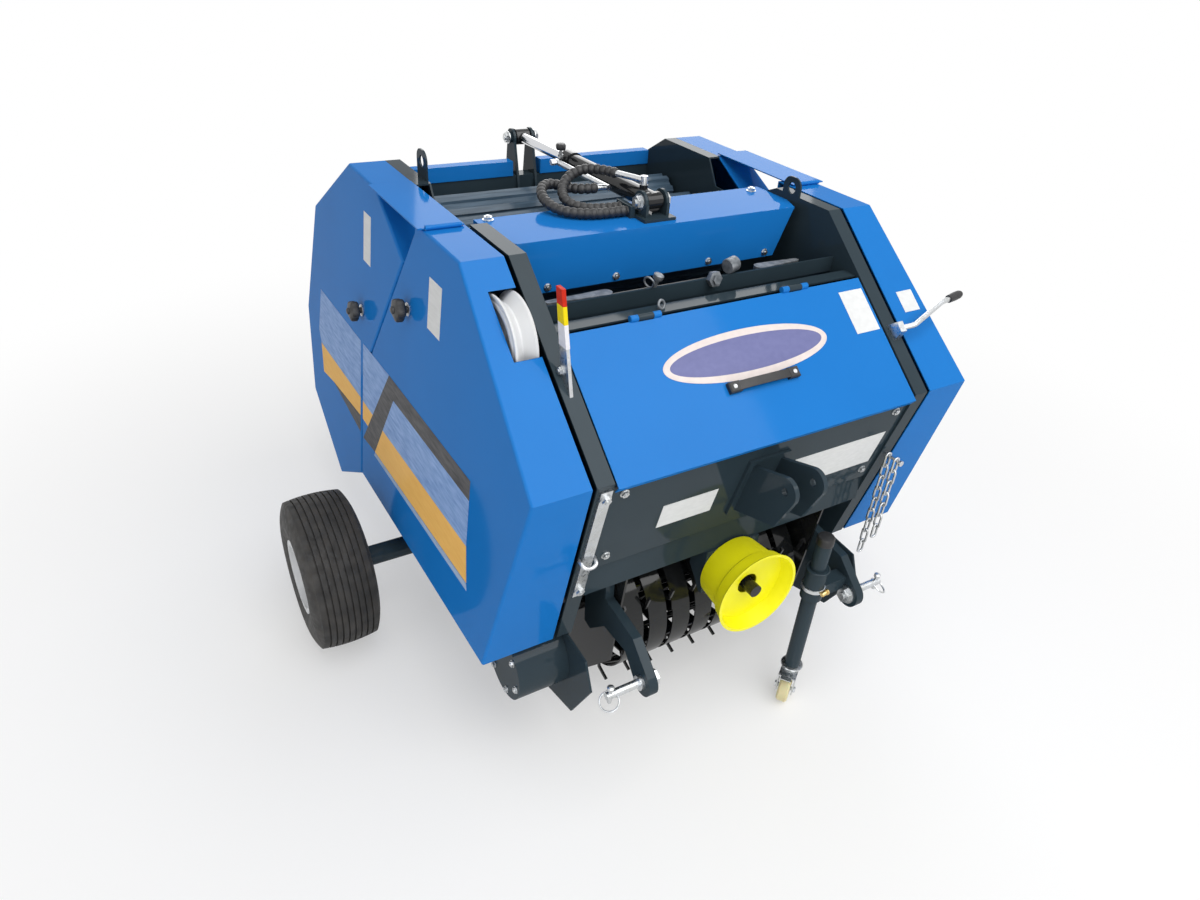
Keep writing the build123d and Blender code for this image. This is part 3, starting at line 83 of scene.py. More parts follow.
# %% Workbench for finishes
def add_node(tree, kind, inputs=(), **settings):
    """Add a node to a tree, set its properties, and link or set its inputs by name or number."""
    made = tree.nodes.new(kind)
    for label, value in settings.items():
        setattr(made, label, value)
    for label, value in dict(inputs).items():
        for one in value if isinstance(value, list) else [value]:
            if isinstance(one, bpy.types.NodeSocket):
                tree.links.new(one, made.inputs[label])
            else:
                made.inputs[label].default_value = one
    return made


class Finish:
    """A procedural finish: one Principled shader and the few nodes that feed it."""

    def __init__(self, name, colour, roughness, metallic=0.0, **sockets):
        self.material = bpy.data.materials.new(name)
        self.material.use_nodes = True
        self.tree = self.material.node_tree
        self.shader = self.tree.nodes["Principled BSDF"]
        self.shader.inputs["Base Color"].default_value = (*colour, 1)
        self.shader.inputs["Roughness"].default_value = roughness
        self.shader.inputs["Metallic"].default_value = metallic
        for label, value in sockets.items():
            title = label.replace("_", " ").title().replace("Ior", "IOR")
            self.shader.inputs[title].default_value = value
        self.material.diffuse_color = (*colour, 1)

    def node(self, kind, inputs=(), **settings):
        """Add a node to this finish."""
        return add_node(self.tree, kind, inputs, **settings)

    def place(self, scale=(1, 1, 1), turn=(0, 0, 0)):
        """Object coordinates, stretched and turned."""
        source = self.node("ShaderNodeTexCoord").outputs["Object"]
        inputs = {"Vector": source, "Scale": scale, "Rotation": turn}
        return self.node("ShaderNodeMapping", inputs).outputs[0]

    def noise(self, scale, detail=3.0, stretch=(1, 1, 1), turn=(0, 0, 0)):
        """Cloudy grey between 0 and 1."""
        inputs = {"Vector": self.place(stretch, turn), "Scale": scale, "Detail": detail}
        return self.node("ShaderNodeTexNoise", inputs).outputs["Fac"]

    def ramp(self, factor, low, high, start=0.35, end=0.65):
        """Two colours or greys across a part of a factor's range."""
        made = self.node("ShaderNodeValToRGB", {"Fac": factor})
        for stop, place, value in zip(made.color_ramp.elements, (start, end), (low, high)):
            stop.position = place
            stop.color = (*value, 1) if isinstance(value, tuple) else (value, value, value, 1)
        return made.outputs["Color"]

    def blend(self, factor, low, high):
        """Mix two colours by a factor."""
        inputs = {0: factor, 6: (*low, 1), 7: (*high, 1)}
        return self.node("ShaderNodeMix", inputs, data_type="RGBA").outputs[2]

    def feed(self, socket, output):
        """Let a node's output drive one of the shader's sockets."""
        self.tree.links.new(output, self.shader.inputs[socket])

    def bump(self, height, depth, before=None):
        """Raise the surface by a grey height, up to a depth in metres."""
        inputs = {"Height": height, "Distance": depth, "Strength": 1.0}
        if before is not None:
            inputs["Normal"] = before
        self.feed("Normal", self.node("ShaderNodeBump", inputs).outputs["Normal"])


# %% [markdown]
# ## Paint and powder coat
# The covers are sprayed with a thick glossy enamel over sheet steel, and the frame is powder coated in
# a dark slate. Bevelled meshes could round the sheets' edges. A Bevel node in the shader does it here,
# so the solids stay as packed. The gloss is a thin coat over the colour, so a white room doesn't wash
# the paint out, and a faint orange peel breaks the reflections.

# %% Paint finishes
EDGE_RADIUS = 0.0022


def enamel(name, dark, light, roughness, coat):
    """Sprayed paint with a clear coat, a faint orange peel and softened sheet edges."""
    made = Finish(name, light, roughness, coat_weight=coat, coat_roughness=0.08, specular_ior_level=0.0)
    made.feed("Base Color", made.ramp(made.noise(3.5, 4), dark, light))
    made.feed("Roughness", made.ramp(made.noise(24, 6), roughness - 0.05, roughness + 0.1))
    edges = made.node("ShaderNodeBevel", {"Radius": EDGE_RADIUS}, samples=4).outputs["Normal"]
    made.bump(made.noise(330, 2), 0.00003, edges)
    return made.material


def roller_steel():
    """Roller paint: the slate coat, rubbed to streaks that run along the flutes."""
    made = Finish("roller_slate", (0.05, 0.068, 0.078), 0.38, coat_weight=0.45, coat_roughness=0.12,
                  specular_ior_level=0.1)
    streaks = made.noise(14, 5, stretch=(0.6, 9, 9))
    made.feed("Base Color", made.ramp(streaks, (0.046, 0.078, 0.112), (0.085, 0.132, 0.182)))
    made.feed("Roughness", made.ramp(streaks, 0.32, 0.5))
    made.bump(made.noise(240, 3), 0.00004)
    return made.material


blue = enamel("blue_enamel", (0.011, 0.176, 0.545), (0.012, 0.184, 0.565), 0.30, 0.22)
slate = enamel("slate_powder", (0.026, 0.042, 0.053), (0.031, 0.049, 0.062), 0.34, 0.34)
black = enamel("black_paint", (0.008, 0.009, 0.010), (0.014, 0.015, 0.016), 0.36, 0.7)
rim_white = enamel("rim_white", (0.70, 0.71, 0.72), (0.80, 0.81, 0.82), 0.34, 0.3)
rollers = roller_steel()
print("paints", [paint.name for paint in (blue, slate, black, rim_white, rollers)])

# %% [markdown]
# ## Metal
# Pins, chain and lever are zinc plated, with the faint yellow bloom of passivated zinc. The cylinder's
# rod is hard chrome, and its eye is painted black. The eye could be a material slot of its own, but the
# rod is one solid, so a step along its length changes the finish where the eye begins.

# %% Metal finishes
ROD_END_Y = 0.522
CHROME_COLOUR = (0.66, 0.67, 0.69)
EYE_COLOUR = (0.014, 0.015, 0.016)


def zinc_plate(name="zinc_plate", tint=(0.62, 0.64, 0.66)):
    """Plated steel with a faint bloom and fine scratches."""
    made = Finish(name, tint, 0.32, metallic=1.0)
    warm = tuple(channel * shift for channel, shift in zip(tint, (0.90, 0.89, 0.86)))
    made.feed("Base Color", made.ramp(made.noise(45, 4), tint, warm))
    made.feed("Roughness", made.ramp(made.noise(160, 5), 0.24, 0.46))
    made.bump(made.noise(420, 3), 0.00003)
    return made.material


def chrome_rod():
    """Hard chrome with polishing lines round the rod, and black paint on its eye."""
    made = Finish("hard_chrome", CHROME_COLOUR, 0.14, metallic=1.0)
    lines = made.noise(60, 2, stretch=(1, 40, 1))
    made.feed("Roughness", made.ramp(lines, 0.10, 0.22))
    along = made.node("ShaderNodeSeparateXYZ", {"Vector": made.place()}).outputs["Y"]
    eye = made.node("ShaderNodeMath", {0: along, 1: ROD_END_Y}, operation="GREATER_THAN").outputs[0]
    made.feed("Base Color", made.blend(eye, CHROME_COLOUR, EYE_COLOUR))
    made.feed("Metallic", made.ramp(eye, 1.0, 0.0, 0.4, 0.6))
    return made.material


def cast_iron():
    """Grey cast arms with a sandy skin."""
    made = Finish("grey_casting", (0.19, 0.21, 0.23), 0.42, metallic=0.55)
    made.feed("Base Color", made.ramp(made.noise(60, 5), (0.12, 0.135, 0.15), (0.27, 0.29, 0.31)))
    made.bump(made.noise(300, 4), 0.0002)
    return made.material


zinc = zinc_plate()
brass = zinc_plate("yellow_zinc", (0.70, 0.52, 0.22))
chrome = chrome_rod()
casting = cast_iron()
print("metals", [metal.name for metal in (zinc, brass, chrome, casting)])

# %% [markdown]
# ## Rubber and plastic
# The tyres are matt with pale dust in the tread. The guard is moulded in bright yellow plastic, the
# castor's wheel in cream nylon, and the hoses wear a black spiral guard. One maker serves all the
# plastics, because they differ only in colour, gloss and how deep light goes in.


# %% Rubber and plastic finishes
def tyre_rubber():
    """Black rubber with pale dust that gathers unevenly."""
    made = Finish("tyre_rubber", (0.022, 0.021, 0.020), 0.72)
    dust = made.ramp(made.noise(30, 8), 0.0, 0.38, 0.40, 0.75)
    made.feed("Base Color", made.blend(dust, (0.017, 0.0165, 0.016), (0.105, 0.096, 0.086)))
    made.feed("Roughness", made.ramp(made.noise(60, 4), 0.58, 0.85))
    made.bump(made.noise(520, 4), 0.00012)
    return made.material


def moulded(name, dark, light, roughness, soft=0.0):
    """Moulded plastic with a fine grain."""
    made = Finish(name, light, roughness, subsurface_weight=soft, subsurface_scale=0.004)
    made.feed("Base Color", made.ramp(made.noise(9, 4), dark, light))
    made.feed("Roughness", made.ramp(made.noise(70, 4), roughness - 0.06, roughness + 0.1))
    made.bump(made.noise(300, 3), 0.00006)
    return made.material


rubber = tyre_rubber()
yellow = moulded("guard_yellow", (0.90, 0.85, 0.003), (0.95, 0.90, 0.004), 0.42)
cream = moulded("cream_nylon", (0.66, 0.58, 0.30), (0.78, 0.71, 0.42), 0.34, soft=0.15)
black_plastic = moulded("black_plastic", (0.010, 0.010, 0.011), (0.018, 0.018, 0.019), 0.44)
hose_guard = moulded("hose_guard", (0.013, 0.013, 0.014), (0.026, 0.026, 0.027), 0.46)
print("plastics", [plastic.name for plastic in (rubber, yellow, cream, black_plastic, hose_guard)])

# %% [markdown]
# ## Finish every solid
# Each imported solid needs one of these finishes. They could be set one by one, but a table from finish
# to solids keeps the choice in one place. Nothing is moved: only the material slots change.

# %% Finish the solids
SOLIDS = (
    (blue, "cross_beam front_lid gate_bar front_hood_left front_hood_right rear_hood_left rear_hood_right "
           "flap_left flap_right"),
    (slate, "front_plate_left front_plate_right gate_plate_left gate_plate_right front_panel hinge_bar "
            "twine_box top_link_bracket hitch_arm_left hitch_arm_right rod_bracket ram_bracket jack_sleeve "
            "jack_leg pickup_shield_left pickup_shield_right cross_tube feed_pan drive_drum tying_bar axle "
            "gearbox"),
    (rollers, "front_rollers gate_rollers"),
    (yellow, "pto_guard"),
    (zinc, "hitch_pins check_chain hanger_bar lever indicator pulley_shaft castor_fork cylinder_fittings"),
    # The PTO shaft takes the black paint partly as dark oiled steel and partly as painted shade, so that its
    # end shows as the dark hole of the guard.
    (black, "cylinder_barrel lid_handle pickup_reel stripper_bands pickup_ends pto_shaft"),
    (chrome, "cylinder_rod"),
    (casting, "twine_arms"),
    (rubber, "tyre_left tyre_right"),
    (rim_white, "rim_left rim_right twine_pulley"),
    (cream, "castor_wheel"),
    (hose_guard, "hose_base hose_gland"),
)
finished = set()
for material, names in SOLIDS:
    for name in names.split():
        nodes[name].data.materials.clear()
        nodes[name].data.materials.append(material)
        finished.add(name)
print("finished solids", len(finished), "left over", sorted(set(nodes) - finished))

# %% [markdown]
# ## Making pieces
# A piece is a plain mesh at the origin, unturned, that rides on one body of the frame. Blender's own
# primitives could be scaled into place, but then each would carry a turn of its own. Here round forms
# are turned on a lathe from a profile, flat ones are skins over like rings, and all are closed.

# %% Piece makers
UP = (0, 0, 1)
FORWARD = (0, -1, 0)
ACROSS = (1, 0, 0)
SIDES = (("left", -1), ("right", 1))


def add_piece(name, mesh, body, material, smooth=35):
    """Make an object of a mesh, give it its finish and let it ride on a body."""
    mesh.materials.clear()
    mesh.materials.append(material)
    if smooth:
        mesh.shade_smooth()
        mesh.set_sharp_from_angle(angle=math.radians(smooth))
    piece = bpy.data.objects.new(name, mesh)
    bpy.context.collection.objects.link(piece)
    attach(piece, body)
    return piece


def add_form(name, form, body, material, smooth=35):
    """Merge a bmesh, turn its faces outwards and add it as a piece."""
    bmesh.ops.remove_doubles(form, verts=form.verts, dist=1e-6)
    bmesh.ops.recalc_face_normals(form, faces=form.faces)
    mesh = bpy.data.meshes.new(name)
    form.to_mesh(mesh)
    form.free()
    return add_piece(name, mesh, body, material, smooth)


def triangles(piece):
    """Number of triangles in a piece."""
    return sum(len(face.vertices) - 2 for face in piece.data.polygons)


def axis_frame(place, axis):
    """Matrix whose Z runs along an axis from a place."""
    turn = Vector(axis).normalized().to_track_quat("Z", "Y").to_matrix().to_4x4()
    return Matrix.Translation(place) @ turn


def skin(form, rings, closed=False):
    """Draw a skin over a row of like rings of points, closed by two caps or back to the first ring."""
    loops = [[form.verts.new(point) for point in ring] for ring in rings]
    following_loops = loops[1:] + loops[:1] if closed else loops[1:]
    for low, high in zip(loops, following_loops):
        for k in range(len(low)):
            following = (k + 1) % len(low)
            form.faces.new((low[k], low[following], high[following], high[k]))
    if not closed:
        form.faces.new(list(reversed(loops[0])))
        form.faces.new(loops[-1])


def lathe(form, profile, place, axis, segments=32, closed=False, wave=None):
    """Turn a profile of (radius, height) about an axis; a closed profile makes a ring."""
    matrix = axis_frame(place, axis)
    turns = [2 * math.pi * k / segments for k in range(segments)]
    rings = []
    for radius, height in profile:
        reaches = [radius * (wave(turn, height) if wave else 1) for turn in turns]
        flat = [(reach * math.cos(turn), reach * math.sin(turn)) for reach, turn in zip(reaches, turns)]
        rings.append([matrix @ Vector((*point, height)) for point in flat])
    skin(form, rings, closed)


# %% [markdown]
# ## A workbench for Geometry Nodes
# What repeats or follows a path is grown by a Geometry Nodes tree. A tree could be drawn by hand in the
# editor, but one that is built line by line can be read here. Its sizes are named inputs, which the
# modifier takes by their identifiers, and its result is kept as a plain mesh.


# %% Workbench for Geometry Nodes
class Tree:
    """A Geometry Nodes tree with named inputs, built line by line."""

    def __init__(self, name, **sizes):
        self.group = bpy.data.node_groups.new(name, "GeometryNodeTree")
        face = self.group.interface
        face.new_socket("Geometry", in_out="INPUT", socket_type="NodeSocketGeometry")
        self.sizes = {}
        for label, value in sizes.items():
            socket = face.new_socket(label, in_out="INPUT", socket_type="NodeSocketFloat")
            socket.default_value = value
            self.sizes[socket.identifier] = value
        face.new_socket("Geometry", in_out="OUTPUT", socket_type="NodeSocketGeometry")
        self.start = self.group.nodes.new("NodeGroupInput")
        self.end = self.group.nodes.new("NodeGroupOutput")

    def __getitem__(self, label):
        return self.start.outputs[label]

    def node(self, kind, inputs=(), **settings):
        """Add a node to this tree."""
        return add_node(self.group, kind, inputs, **settings)

    def math(self, operation, first, second=0.0):
        """One step of arithmetic."""
        return self.node("ShaderNodeMath", {0: first, 1: second}, operation=operation).outputs[0]

    def close(self, geometry, material):
        """Make the instances real, give them their finish and end the tree."""
        real = self.node("GeometryNodeRealizeInstances", {"Geometry": geometry}).outputs[0]
        done = self.node("GeometryNodeSetMaterial", {"Geometry": real, "Material": material}).outputs[0]
        self.group.links.new(done, self.end.inputs["Geometry"])

    def grow(self, base):
        """Run the tree on an object and give back the result as a plain mesh."""
        modifier = base.modifiers.new("grow", "NODES")
        modifier.node_group = self.group
        for identifier, value in self.sizes.items():
            modifier[identifier] = value
        ready = base.evaluated_get(bpy.context.evaluated_depsgraph_get())
        mesh = bpy.data.meshes.new_from_object(ready)
        bpy.data.objects.remove(base)
        return mesh


# %% [markdown]
# ## Hydraulic hoses
# Two hoses feed the lifting cylinder. Each leaves its fitting, makes a loose loop to the left and comes
# back along the beam into its clamp beside the cylinder's bracket. A curve with a round bevel would be
# smooth, but these wear a spiral guard. Its ridges are a rule along the route, so Geometry Nodes sweep
# a ring whose size swells at every turn of the spiral.

# %% Routes of the hoses
BASE_HOSE = [
    (-0.0415, -0.0770, 1.3472), (-0.0580, -0.0340, 1.3463), (-0.100, -0.010, 1.347),
    (-0.148, -0.014, 1.334), (-0.186, -0.044, 1.312), (-0.196, -0.088, 1.292),
    (-0.172, -0.126, 1.285), (-0.128, -0.150, 1.285), (-0.071, -0.150, 1.285),
]
GLAND_HOSE = [
    (-0.0840, -0.0500, 1.3056), (-0.112, -0.0500, 1.3056), (-0.140, -0.026, 1.302),
    (-0.164, -0.002, 1.306), (-0.196, 0.006, 1.312), (-0.226, -0.014, 1.311),
    (-0.246, -0.052, 1.302), (-0.247, -0.100, 1.291), (-0.224, -0.144, 1.285),
    (-0.178, -0.174, 1.285), (-0.121, -0.182, 1.285), (-0.071, -0.182, 1.285),
]


def route_curve(name, points):
    """Smooth open spline with the route's points as its control points."""
    curve = bpy.data.curves.new(name, "CURVE")
    curve.dimensions = "3D"
    curve.resolution_u = 24
    spline = curve.splines.new("NURBS")
    spline.points.add(len(points) - 1)
    for control, point in zip(spline.points, points):
        control.co = (*point, 1)
    spline.order_u = 3
    spline.use_endpoint_u = True
    made = bpy.data.objects.new(name, curve)
    bpy.context.collection.objects.link(made)
    return made


def drawn_mesh(curve_object):
    """Mesh of a curve as Blender draws it."""
    return bpy.data.meshes.new_from_object(curve_object.evaluated_get(bpy.context.evaluated_depsgraph_get()))


# %% [markdown]
# ## The spiral guard
# The guard is a flat plastic strip wound round the hose, so it shows one rounded ridge in each turn. It
# could be a bump in the material, but the ridges show in the outline, so they are real geometry.

# %% Hoses with their spiral guard
HOSE_R = 0.013
HOSE_PITCH = 0.0165
HOSE_STEP = 0.0015
VALLEY = 0.77
RIDGE = 0.25
RIDGE_ROUNDNESS = 0.55


def spiral_guard_tree():
    """Sweep a ring along a route; it swells once in each pitch like an overlapping spiral."""
    tree = Tree("spiral_guard", Radius=HOSE_R, Pitch=HOSE_PITCH, Step=HOSE_STEP)
    inputs = {"Curve": tree["Geometry"], "Length": tree["Step"]}
    fine = tree.node("GeometryNodeResampleCurve", inputs, mode="LENGTH").outputs[0]
    along = tree.node("GeometryNodeSplineParameter").outputs["Length"]
    turn = tree.math("FRACT", tree.math("DIVIDE", along, tree["Pitch"]))
    arch = tree.math("SINE", tree.math("MULTIPLY", turn, math.pi))
    swell = tree.math("POWER", arch, RIDGE_ROUNDNESS)
    size = tree.math("ADD", tree.math("MULTIPLY", swell, RIDGE), VALLEY)
    inputs = {"Resolution": 24, "Radius": tree["Radius"]}
    ring = tree.node("GeometryNodeCurvePrimitiveCircle", inputs).outputs[0]
    inputs = {"Curve": fine, "Profile Curve": ring, "Scale": size, "Fill Caps": True}
    tree.close(tree.node("GeometryNodeCurveToMesh", inputs).outputs[0], hose_guard)
    return tree


spiral_guard = spiral_guard_tree()
for name, route in {"hose_base": BASE_HOSE, "hose_gland": GLAND_HOSE}.items():
    line = route_curve(name + "_route", route)
    path = [vertex.co.copy() for vertex in drawn_mesh(line).vertices]
    hose = add_piece(name + "_guard", spiral_guard.grow(line), "barrel", hose_guard, smooth=50)
    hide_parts(name)

# %% [markdown]
# ## Tyres
# The tyres are ribbed implement tyres: round shoulders and straight grooves all round. An array of ribs
# could be bent into a ring, but the grooves run straight round, so one lathe profile gives the whole
# tyre, with the grooves as real steps that show in the outline too.

# %% Ribbed tyres
AXLE_PLACE = (0.043, 0.2285)
TRACK_X = 0.873976
TYRE_R = 0.2283
CROWN_DROP = 0.007
TREAD_HALF = 0.078
BEAD_R = 0.1024
BEAD_HALF = 0.0845
SIDE_BULGE = 0.0125
SIDE_STEPS = 12
GROOVES = 8
GROOVE_W = 0.0045
GROOVE_DEPTH = 0.006


def tread_radius(x):
    """Crown of the tread: a little lower towards the shoulders."""
    return TYRE_R - CROWN_DROP * (x / TREAD_HALF) ** 2


def tyre_profile():
    """One sidewall, the grooved tread and the other sidewall, as (radius, height along the axle)."""
    side = []
    for step in range(SIDE_STEPS + 1):
        part = step / SIDE_STEPS
        bulge = math.sin(math.pi * part) ** 0.9
        radius = BEAD_R + (tread_radius(TREAD_HALF) - BEAD_R) * part
        half = BEAD_HALF + (TREAD_HALF - BEAD_HALF) * part ** 3 + SIDE_BULGE * bulge
        side.append((radius, half))
    tread = []
    pitch = 2 * TREAD_HALF / (GROOVES + 1)
    for groove in range(1, GROOVES + 1):
        middle = -TREAD_HALF + groove * pitch
        edges = (middle - GROOVE_W / 2, middle - GROOVE_W / 3, middle + GROOVE_W / 3, middle + GROOVE_W / 2)
        for x, depth in zip(edges, (0, GROOVE_DEPTH, GROOVE_DEPTH, 0)):
            tread.append((tread_radius(x) - depth, x))
    near = [(radius, -half) for radius, half in side]
    return near + tread + list(reversed(side))


for name, side in SIDES:
    form = bmesh.new()
    lathe(form, tyre_profile(), (side * TRACK_X, *AXLE_PLACE), ACROSS, segments=96, closed=True)
    tyre = add_form(f"ribbed_tyre_{name}", form, f"{name}_wheel", rubber)
    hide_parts(f"tyre_{name}")
    print(tyre.name, "triangles", triangles(tyre))

# %% [markdown]
# ## Printed films
# The side bands, the blank plates and the gauge's bands are printed film. A flat colour would look like
# paint, so a streaky noise, stretched along the band, gives the brushed look of the real print.


# %% Film finishes
def brushed_print(name, dark, light, roughness=0.4):
    """Printed film with a brushed look along the band."""
    made = Finish(name, light, roughness, coat_weight=0.15, coat_roughness=0.2, specular_ior_level=0.0)
    scratch = made.noise(55, 6, stretch=(1, 0.35, 2.2), turn=(0.5, 0, 0))
    made.feed("Base Color", made.ramp(scratch, dark, light, 0.3, 0.7))
    return made.material


film_blue = brushed_print("film_blue_grey", (0.19, 0.32, 0.62), (0.33, 0.49, 0.80))
film_orange = brushed_print("film_orange", (0.88, 0.50, 0.14), (0.93, 0.56, 0.17))
film_dark = brushed_print("film_dark_grey", (0.085, 0.085, 0.090), (0.15, 0.15, 0.155))
film_line = brushed_print("film_line_grey", (0.30, 0.42, 0.62), (0.42, 0.54, 0.74))
label_white = brushed_print("blank_label", (0.72, 0.73, 0.73), (0.78, 0.79, 0.79))
oval_rim = brushed_print("oval_rim", (0.74, 0.66, 0.63), (0.80, 0.72, 0.69))
oval_field = brushed_print("oval_field", (0.17, 0.18, 0.36), (0.19, 0.20, 0.39))
gauge_red = brushed_print("gauge_red", (0.50, 0.025, 0.012), (0.60, 0.035, 0.018))
gauge_yellow = brushed_print("gauge_yellow", (0.78, 0.60, 0.01), (0.85, 0.68, 0.015))
gauge_white = brushed_print("gauge_white", (0.72, 0.71, 0.74), (0.80, 0.79, 0.82))

# %% [markdown]
# ## Stripes on the side covers
# A long printed band runs along each side: a brushed blue-grey field over an orange stripe, crossed by
# a dark slanting bar. It could be a pattern in the covers' paint, but as thin sheets on the leaning panel
# its edges stay sharp. The sheets are cut where the covers meet, so the tailgate takes its own along.

# %% Stripes
HOOD_TOP = (0.598, 1.288)
HOOD_LEAN = 0.099
FILM_LIFT = 0.0002
FILM_T = 0.0005
FRONT_EDGE_Y = 0.2735
REAR_EDGE_Y = 0.2965
BAND_TOP_FRONT = (-0.510, 0.835)
BAND_MID_FRONT = (-0.512, 0.783)
STRIPE_TOP_FRONT = (-0.516, 0.658)
STRIPE_LOW_FRONT = (-0.533, 0.561)
BAR_TOP = (0.045, 0.826)
BAR_CORNER = (0.005, 0.769)
BAR_FOOT_FRONT = (0.153, 0.520)
BAR_FOOT_REAR = (0.266, 0.506)
BAR_AT_STRIPE_FRONT = (0.088, 0.630)
BAR_AT_STRIPE_REAR = (0.179, 0.632)
BAR_AT_LOW_REAR = (0.222, 0.570)
SEAM_STRIPE_Z = 0.630
SEAM_LOW_Z = 0.568
STRIPE_TOP_REAR = (0.737, 0.613)
FRONT_FILMS = {
    "field": (film_blue, [BAR_CORNER, BAND_MID_FRONT, STRIPE_TOP_FRONT, BAR_AT_STRIPE_FRONT]),
    "orange": (film_orange, [BAR_AT_STRIPE_FRONT, STRIPE_TOP_FRONT, STRIPE_LOW_FRONT, BAR_FOOT_FRONT]),
    "line": (film_line, [(0.153, 0.518), (-0.533, 0.559), (-0.538, 0.540), (0.160, 0.505)]),
    "bar": (film_dark, [BAR_TOP, BAND_TOP_FRONT, BAND_MID_FRONT, BAR_CORNER, BAR_FOOT_FRONT, BAR_FOOT_REAR]),
    "field_rear": (film_blue, [(FRONT_EDGE_Y, 0.817), BAR_TOP, BAR_AT_STRIPE_REAR,
                               (FRONT_EDGE_Y, SEAM_STRIPE_Z)]),
    "orange_rear": (film_orange, [(FRONT_EDGE_Y, SEAM_STRIPE_Z), BAR_AT_STRIPE_REAR, BAR_AT_LOW_REAR,
                                  (FRONT_EDGE_Y, SEAM_LOW_Z)]),
}
REAR_FILMS = {
    "field": (film_blue, [(0.731, 0.806), (REAR_EDGE_Y, 0.816), (REAR_EDGE_Y, SEAM_STRIPE_Z),
                          STRIPE_TOP_REAR, (0.764, 0.652)]),
    "orange": (film_orange, [STRIPE_TOP_REAR, (REAR_EDGE_Y, SEAM_STRIPE_Z), (REAR_EDGE_Y, SEAM_LOW_Z),
                             (0.585, 0.537), (0.712, 0.516)]),
    "dark": (film_dark, [(0.585, 0.536), (REAR_EDGE_Y, SEAM_LOW_Z - 0.001), (REAR_EDGE_Y, 0.510)]),
}


def on_hood(side, y, z, lift):
    """Point over the leaning panel of a side cover."""
    x = HOOD_TOP[0] + HOOD_LEAN * (HOOD_TOP[1] - z) + lift
    return Vector((side * x, y, z))


def film(name, outline, side, body, material):
    """Thin sheet with a (y, z) outline on the leaning panel."""
    form = bmesh.new()
    lifts = (FILM_LIFT, FILM_LIFT + FILM_T)
    skin(form, [[on_hood(side, y, z, lift) for y, z in outline] for lift in lifts])
    return add_form(name, form, body, material, smooth=0)


for name, side in SIDES:
    for part, (material, outline) in FRONT_FILMS.items():
        film(f"front_stripe_{part}_{name}", outline, side, "frame", material)
    for part, (material, outline) in REAR_FILMS.items():
        film(f"rear_stripe_{part}_{name}", outline, side, "gate", material)
print("stripes", 2 * (len(FRONT_FILMS) + len(REAR_FILMS)))

# %% [markdown]
# ## Bolts
# Dozens of plated hexagon bolts hold the machine together. They could be copied one by one, but they
# only differ in place, direction and size. A Geometry Nodes tree sets a washer, a head and the bolt's
# round end on a cloud of points that carry an axis and a size.

# %% Bolt tree
BOLT_SLICES = (("Washer", 20, 0.0, 0.18), ("Head", 6, 0.18, 0.8), ("End", 12, 0.8, 1.05))


def hex_bolt_tree():
    """A washer, a hexagon head and a round end on every point, sized by the point."""
    tree = Tree("hex_bolts", Washer=1.25, Head=1.0, End=0.5)
    named = "GeometryNodeInputNamedAttribute"
    size = tree.node(named, {"Name": "size"}, data_type="FLOAT").outputs["Attribute"]
    axis = tree.node(named, {"Name": "axis"}, data_type="FLOAT_VECTOR").outputs["Attribute"]
    turn = tree.node("FunctionNodeAlignRotationToVector", {"Vector": axis}, axis="Z").outputs[0]
    stack = []
    for label, corners, low, high in BOLT_SLICES:
        inputs = {"Vertices": corners, "Radius": tree[label], "Depth": high - low}
        disc = tree.node("GeometryNodeMeshCylinder", inputs).outputs["Mesh"]
        inputs = {"Geometry": disc, "Translation": (0, 0, (low + high) / 2)}
        stack.append(tree.node("GeometryNodeTransform", inputs).outputs[0])
    bolt = tree.node("GeometryNodeJoinGeometry", {"Geometry": stack}).outputs[0]
    points = tree.node("GeometryNodeMeshToPoints", {"Mesh": tree["Geometry"]}).outputs[0]
    inputs = {"Points": points, "Instance": bolt, "Rotation": turn, "Scale": size}
    tree.close(tree.node("GeometryNodeInstanceOnPoints", inputs).outputs[0], zinc)
    return tree


def point_cloud(name, places):
    """Loose points at (place, axis, size)."""
    mesh = bpy.data.meshes.new(name)
    mesh.from_pydata([place for place, axis, size in places], [], [])
    mesh.attributes.new("axis", "FLOAT_VECTOR", "POINT")
    mesh.attributes.new("size", "FLOAT", "POINT")
    for k, (place, axis, size) in enumerate(places):
        mesh.attributes["axis"].data[k].vector = axis
        mesh.attributes["size"].data[k].value = size
    made = bpy.data.objects.new(name, mesh)
    bpy.context.collection.objects.link(made)
    return made


# %% [markdown]
# ## Where things sit
# The front has three slanting surfaces: the lid, the panel under it and the strips beside them. Places
# on them could be read off one by one. A small function for each surface turns a place on it and a
# height over it into a point, so that every piece lies flat.

# %% Places on the slanting surfaces
LID_TOP = (-0.523, 1.160)
LID_DOWN = (-0.77698, -0.62952)
LID_UP = (-0.62952, 0.77698)
NOSE = (-0.788, 0.948)
FOOT = (-0.653, 0.402)
PANEL_INSET = 0.006
PANEL_UP = (-0.97077, -0.24002)
STRIP_TOP = (-0.368, 1.288)
STRIP_DOWN = (-0.77725, -0.62920)


def on_lid(x, along, up):
    """Point over the lid, by its distance down from the top edge."""
    y = LID_TOP[0] + LID_DOWN[0] * along + LID_UP[0] * up
    z = LID_TOP[1] + LID_DOWN[1] * along + LID_UP[1] * up
    return Vector((x, y, z))


def on_front(x, z, up):
    """Point over the outer face of the front's lower slope, by its height."""
    y = NOSE[0] + (FOOT[0] - NOSE[0]) * (NOSE[1] - z) / (NOSE[1] - FOOT[1])
    return Vector((x, y + PANEL_UP[0] * up, z + PANEL_UP[1] * up))


def on_strip(x, along, up):
    """Point over the strips' upper slope, by its distance down from the top corner."""
    y = STRIP_TOP[0] + STRIP_DOWN[0] * along + STRIP_DOWN[1] * up
    z = STRIP_TOP[1] + STRIP_DOWN[1] * along - STRIP_DOWN[0] * up
    return Vector((x, y, z))


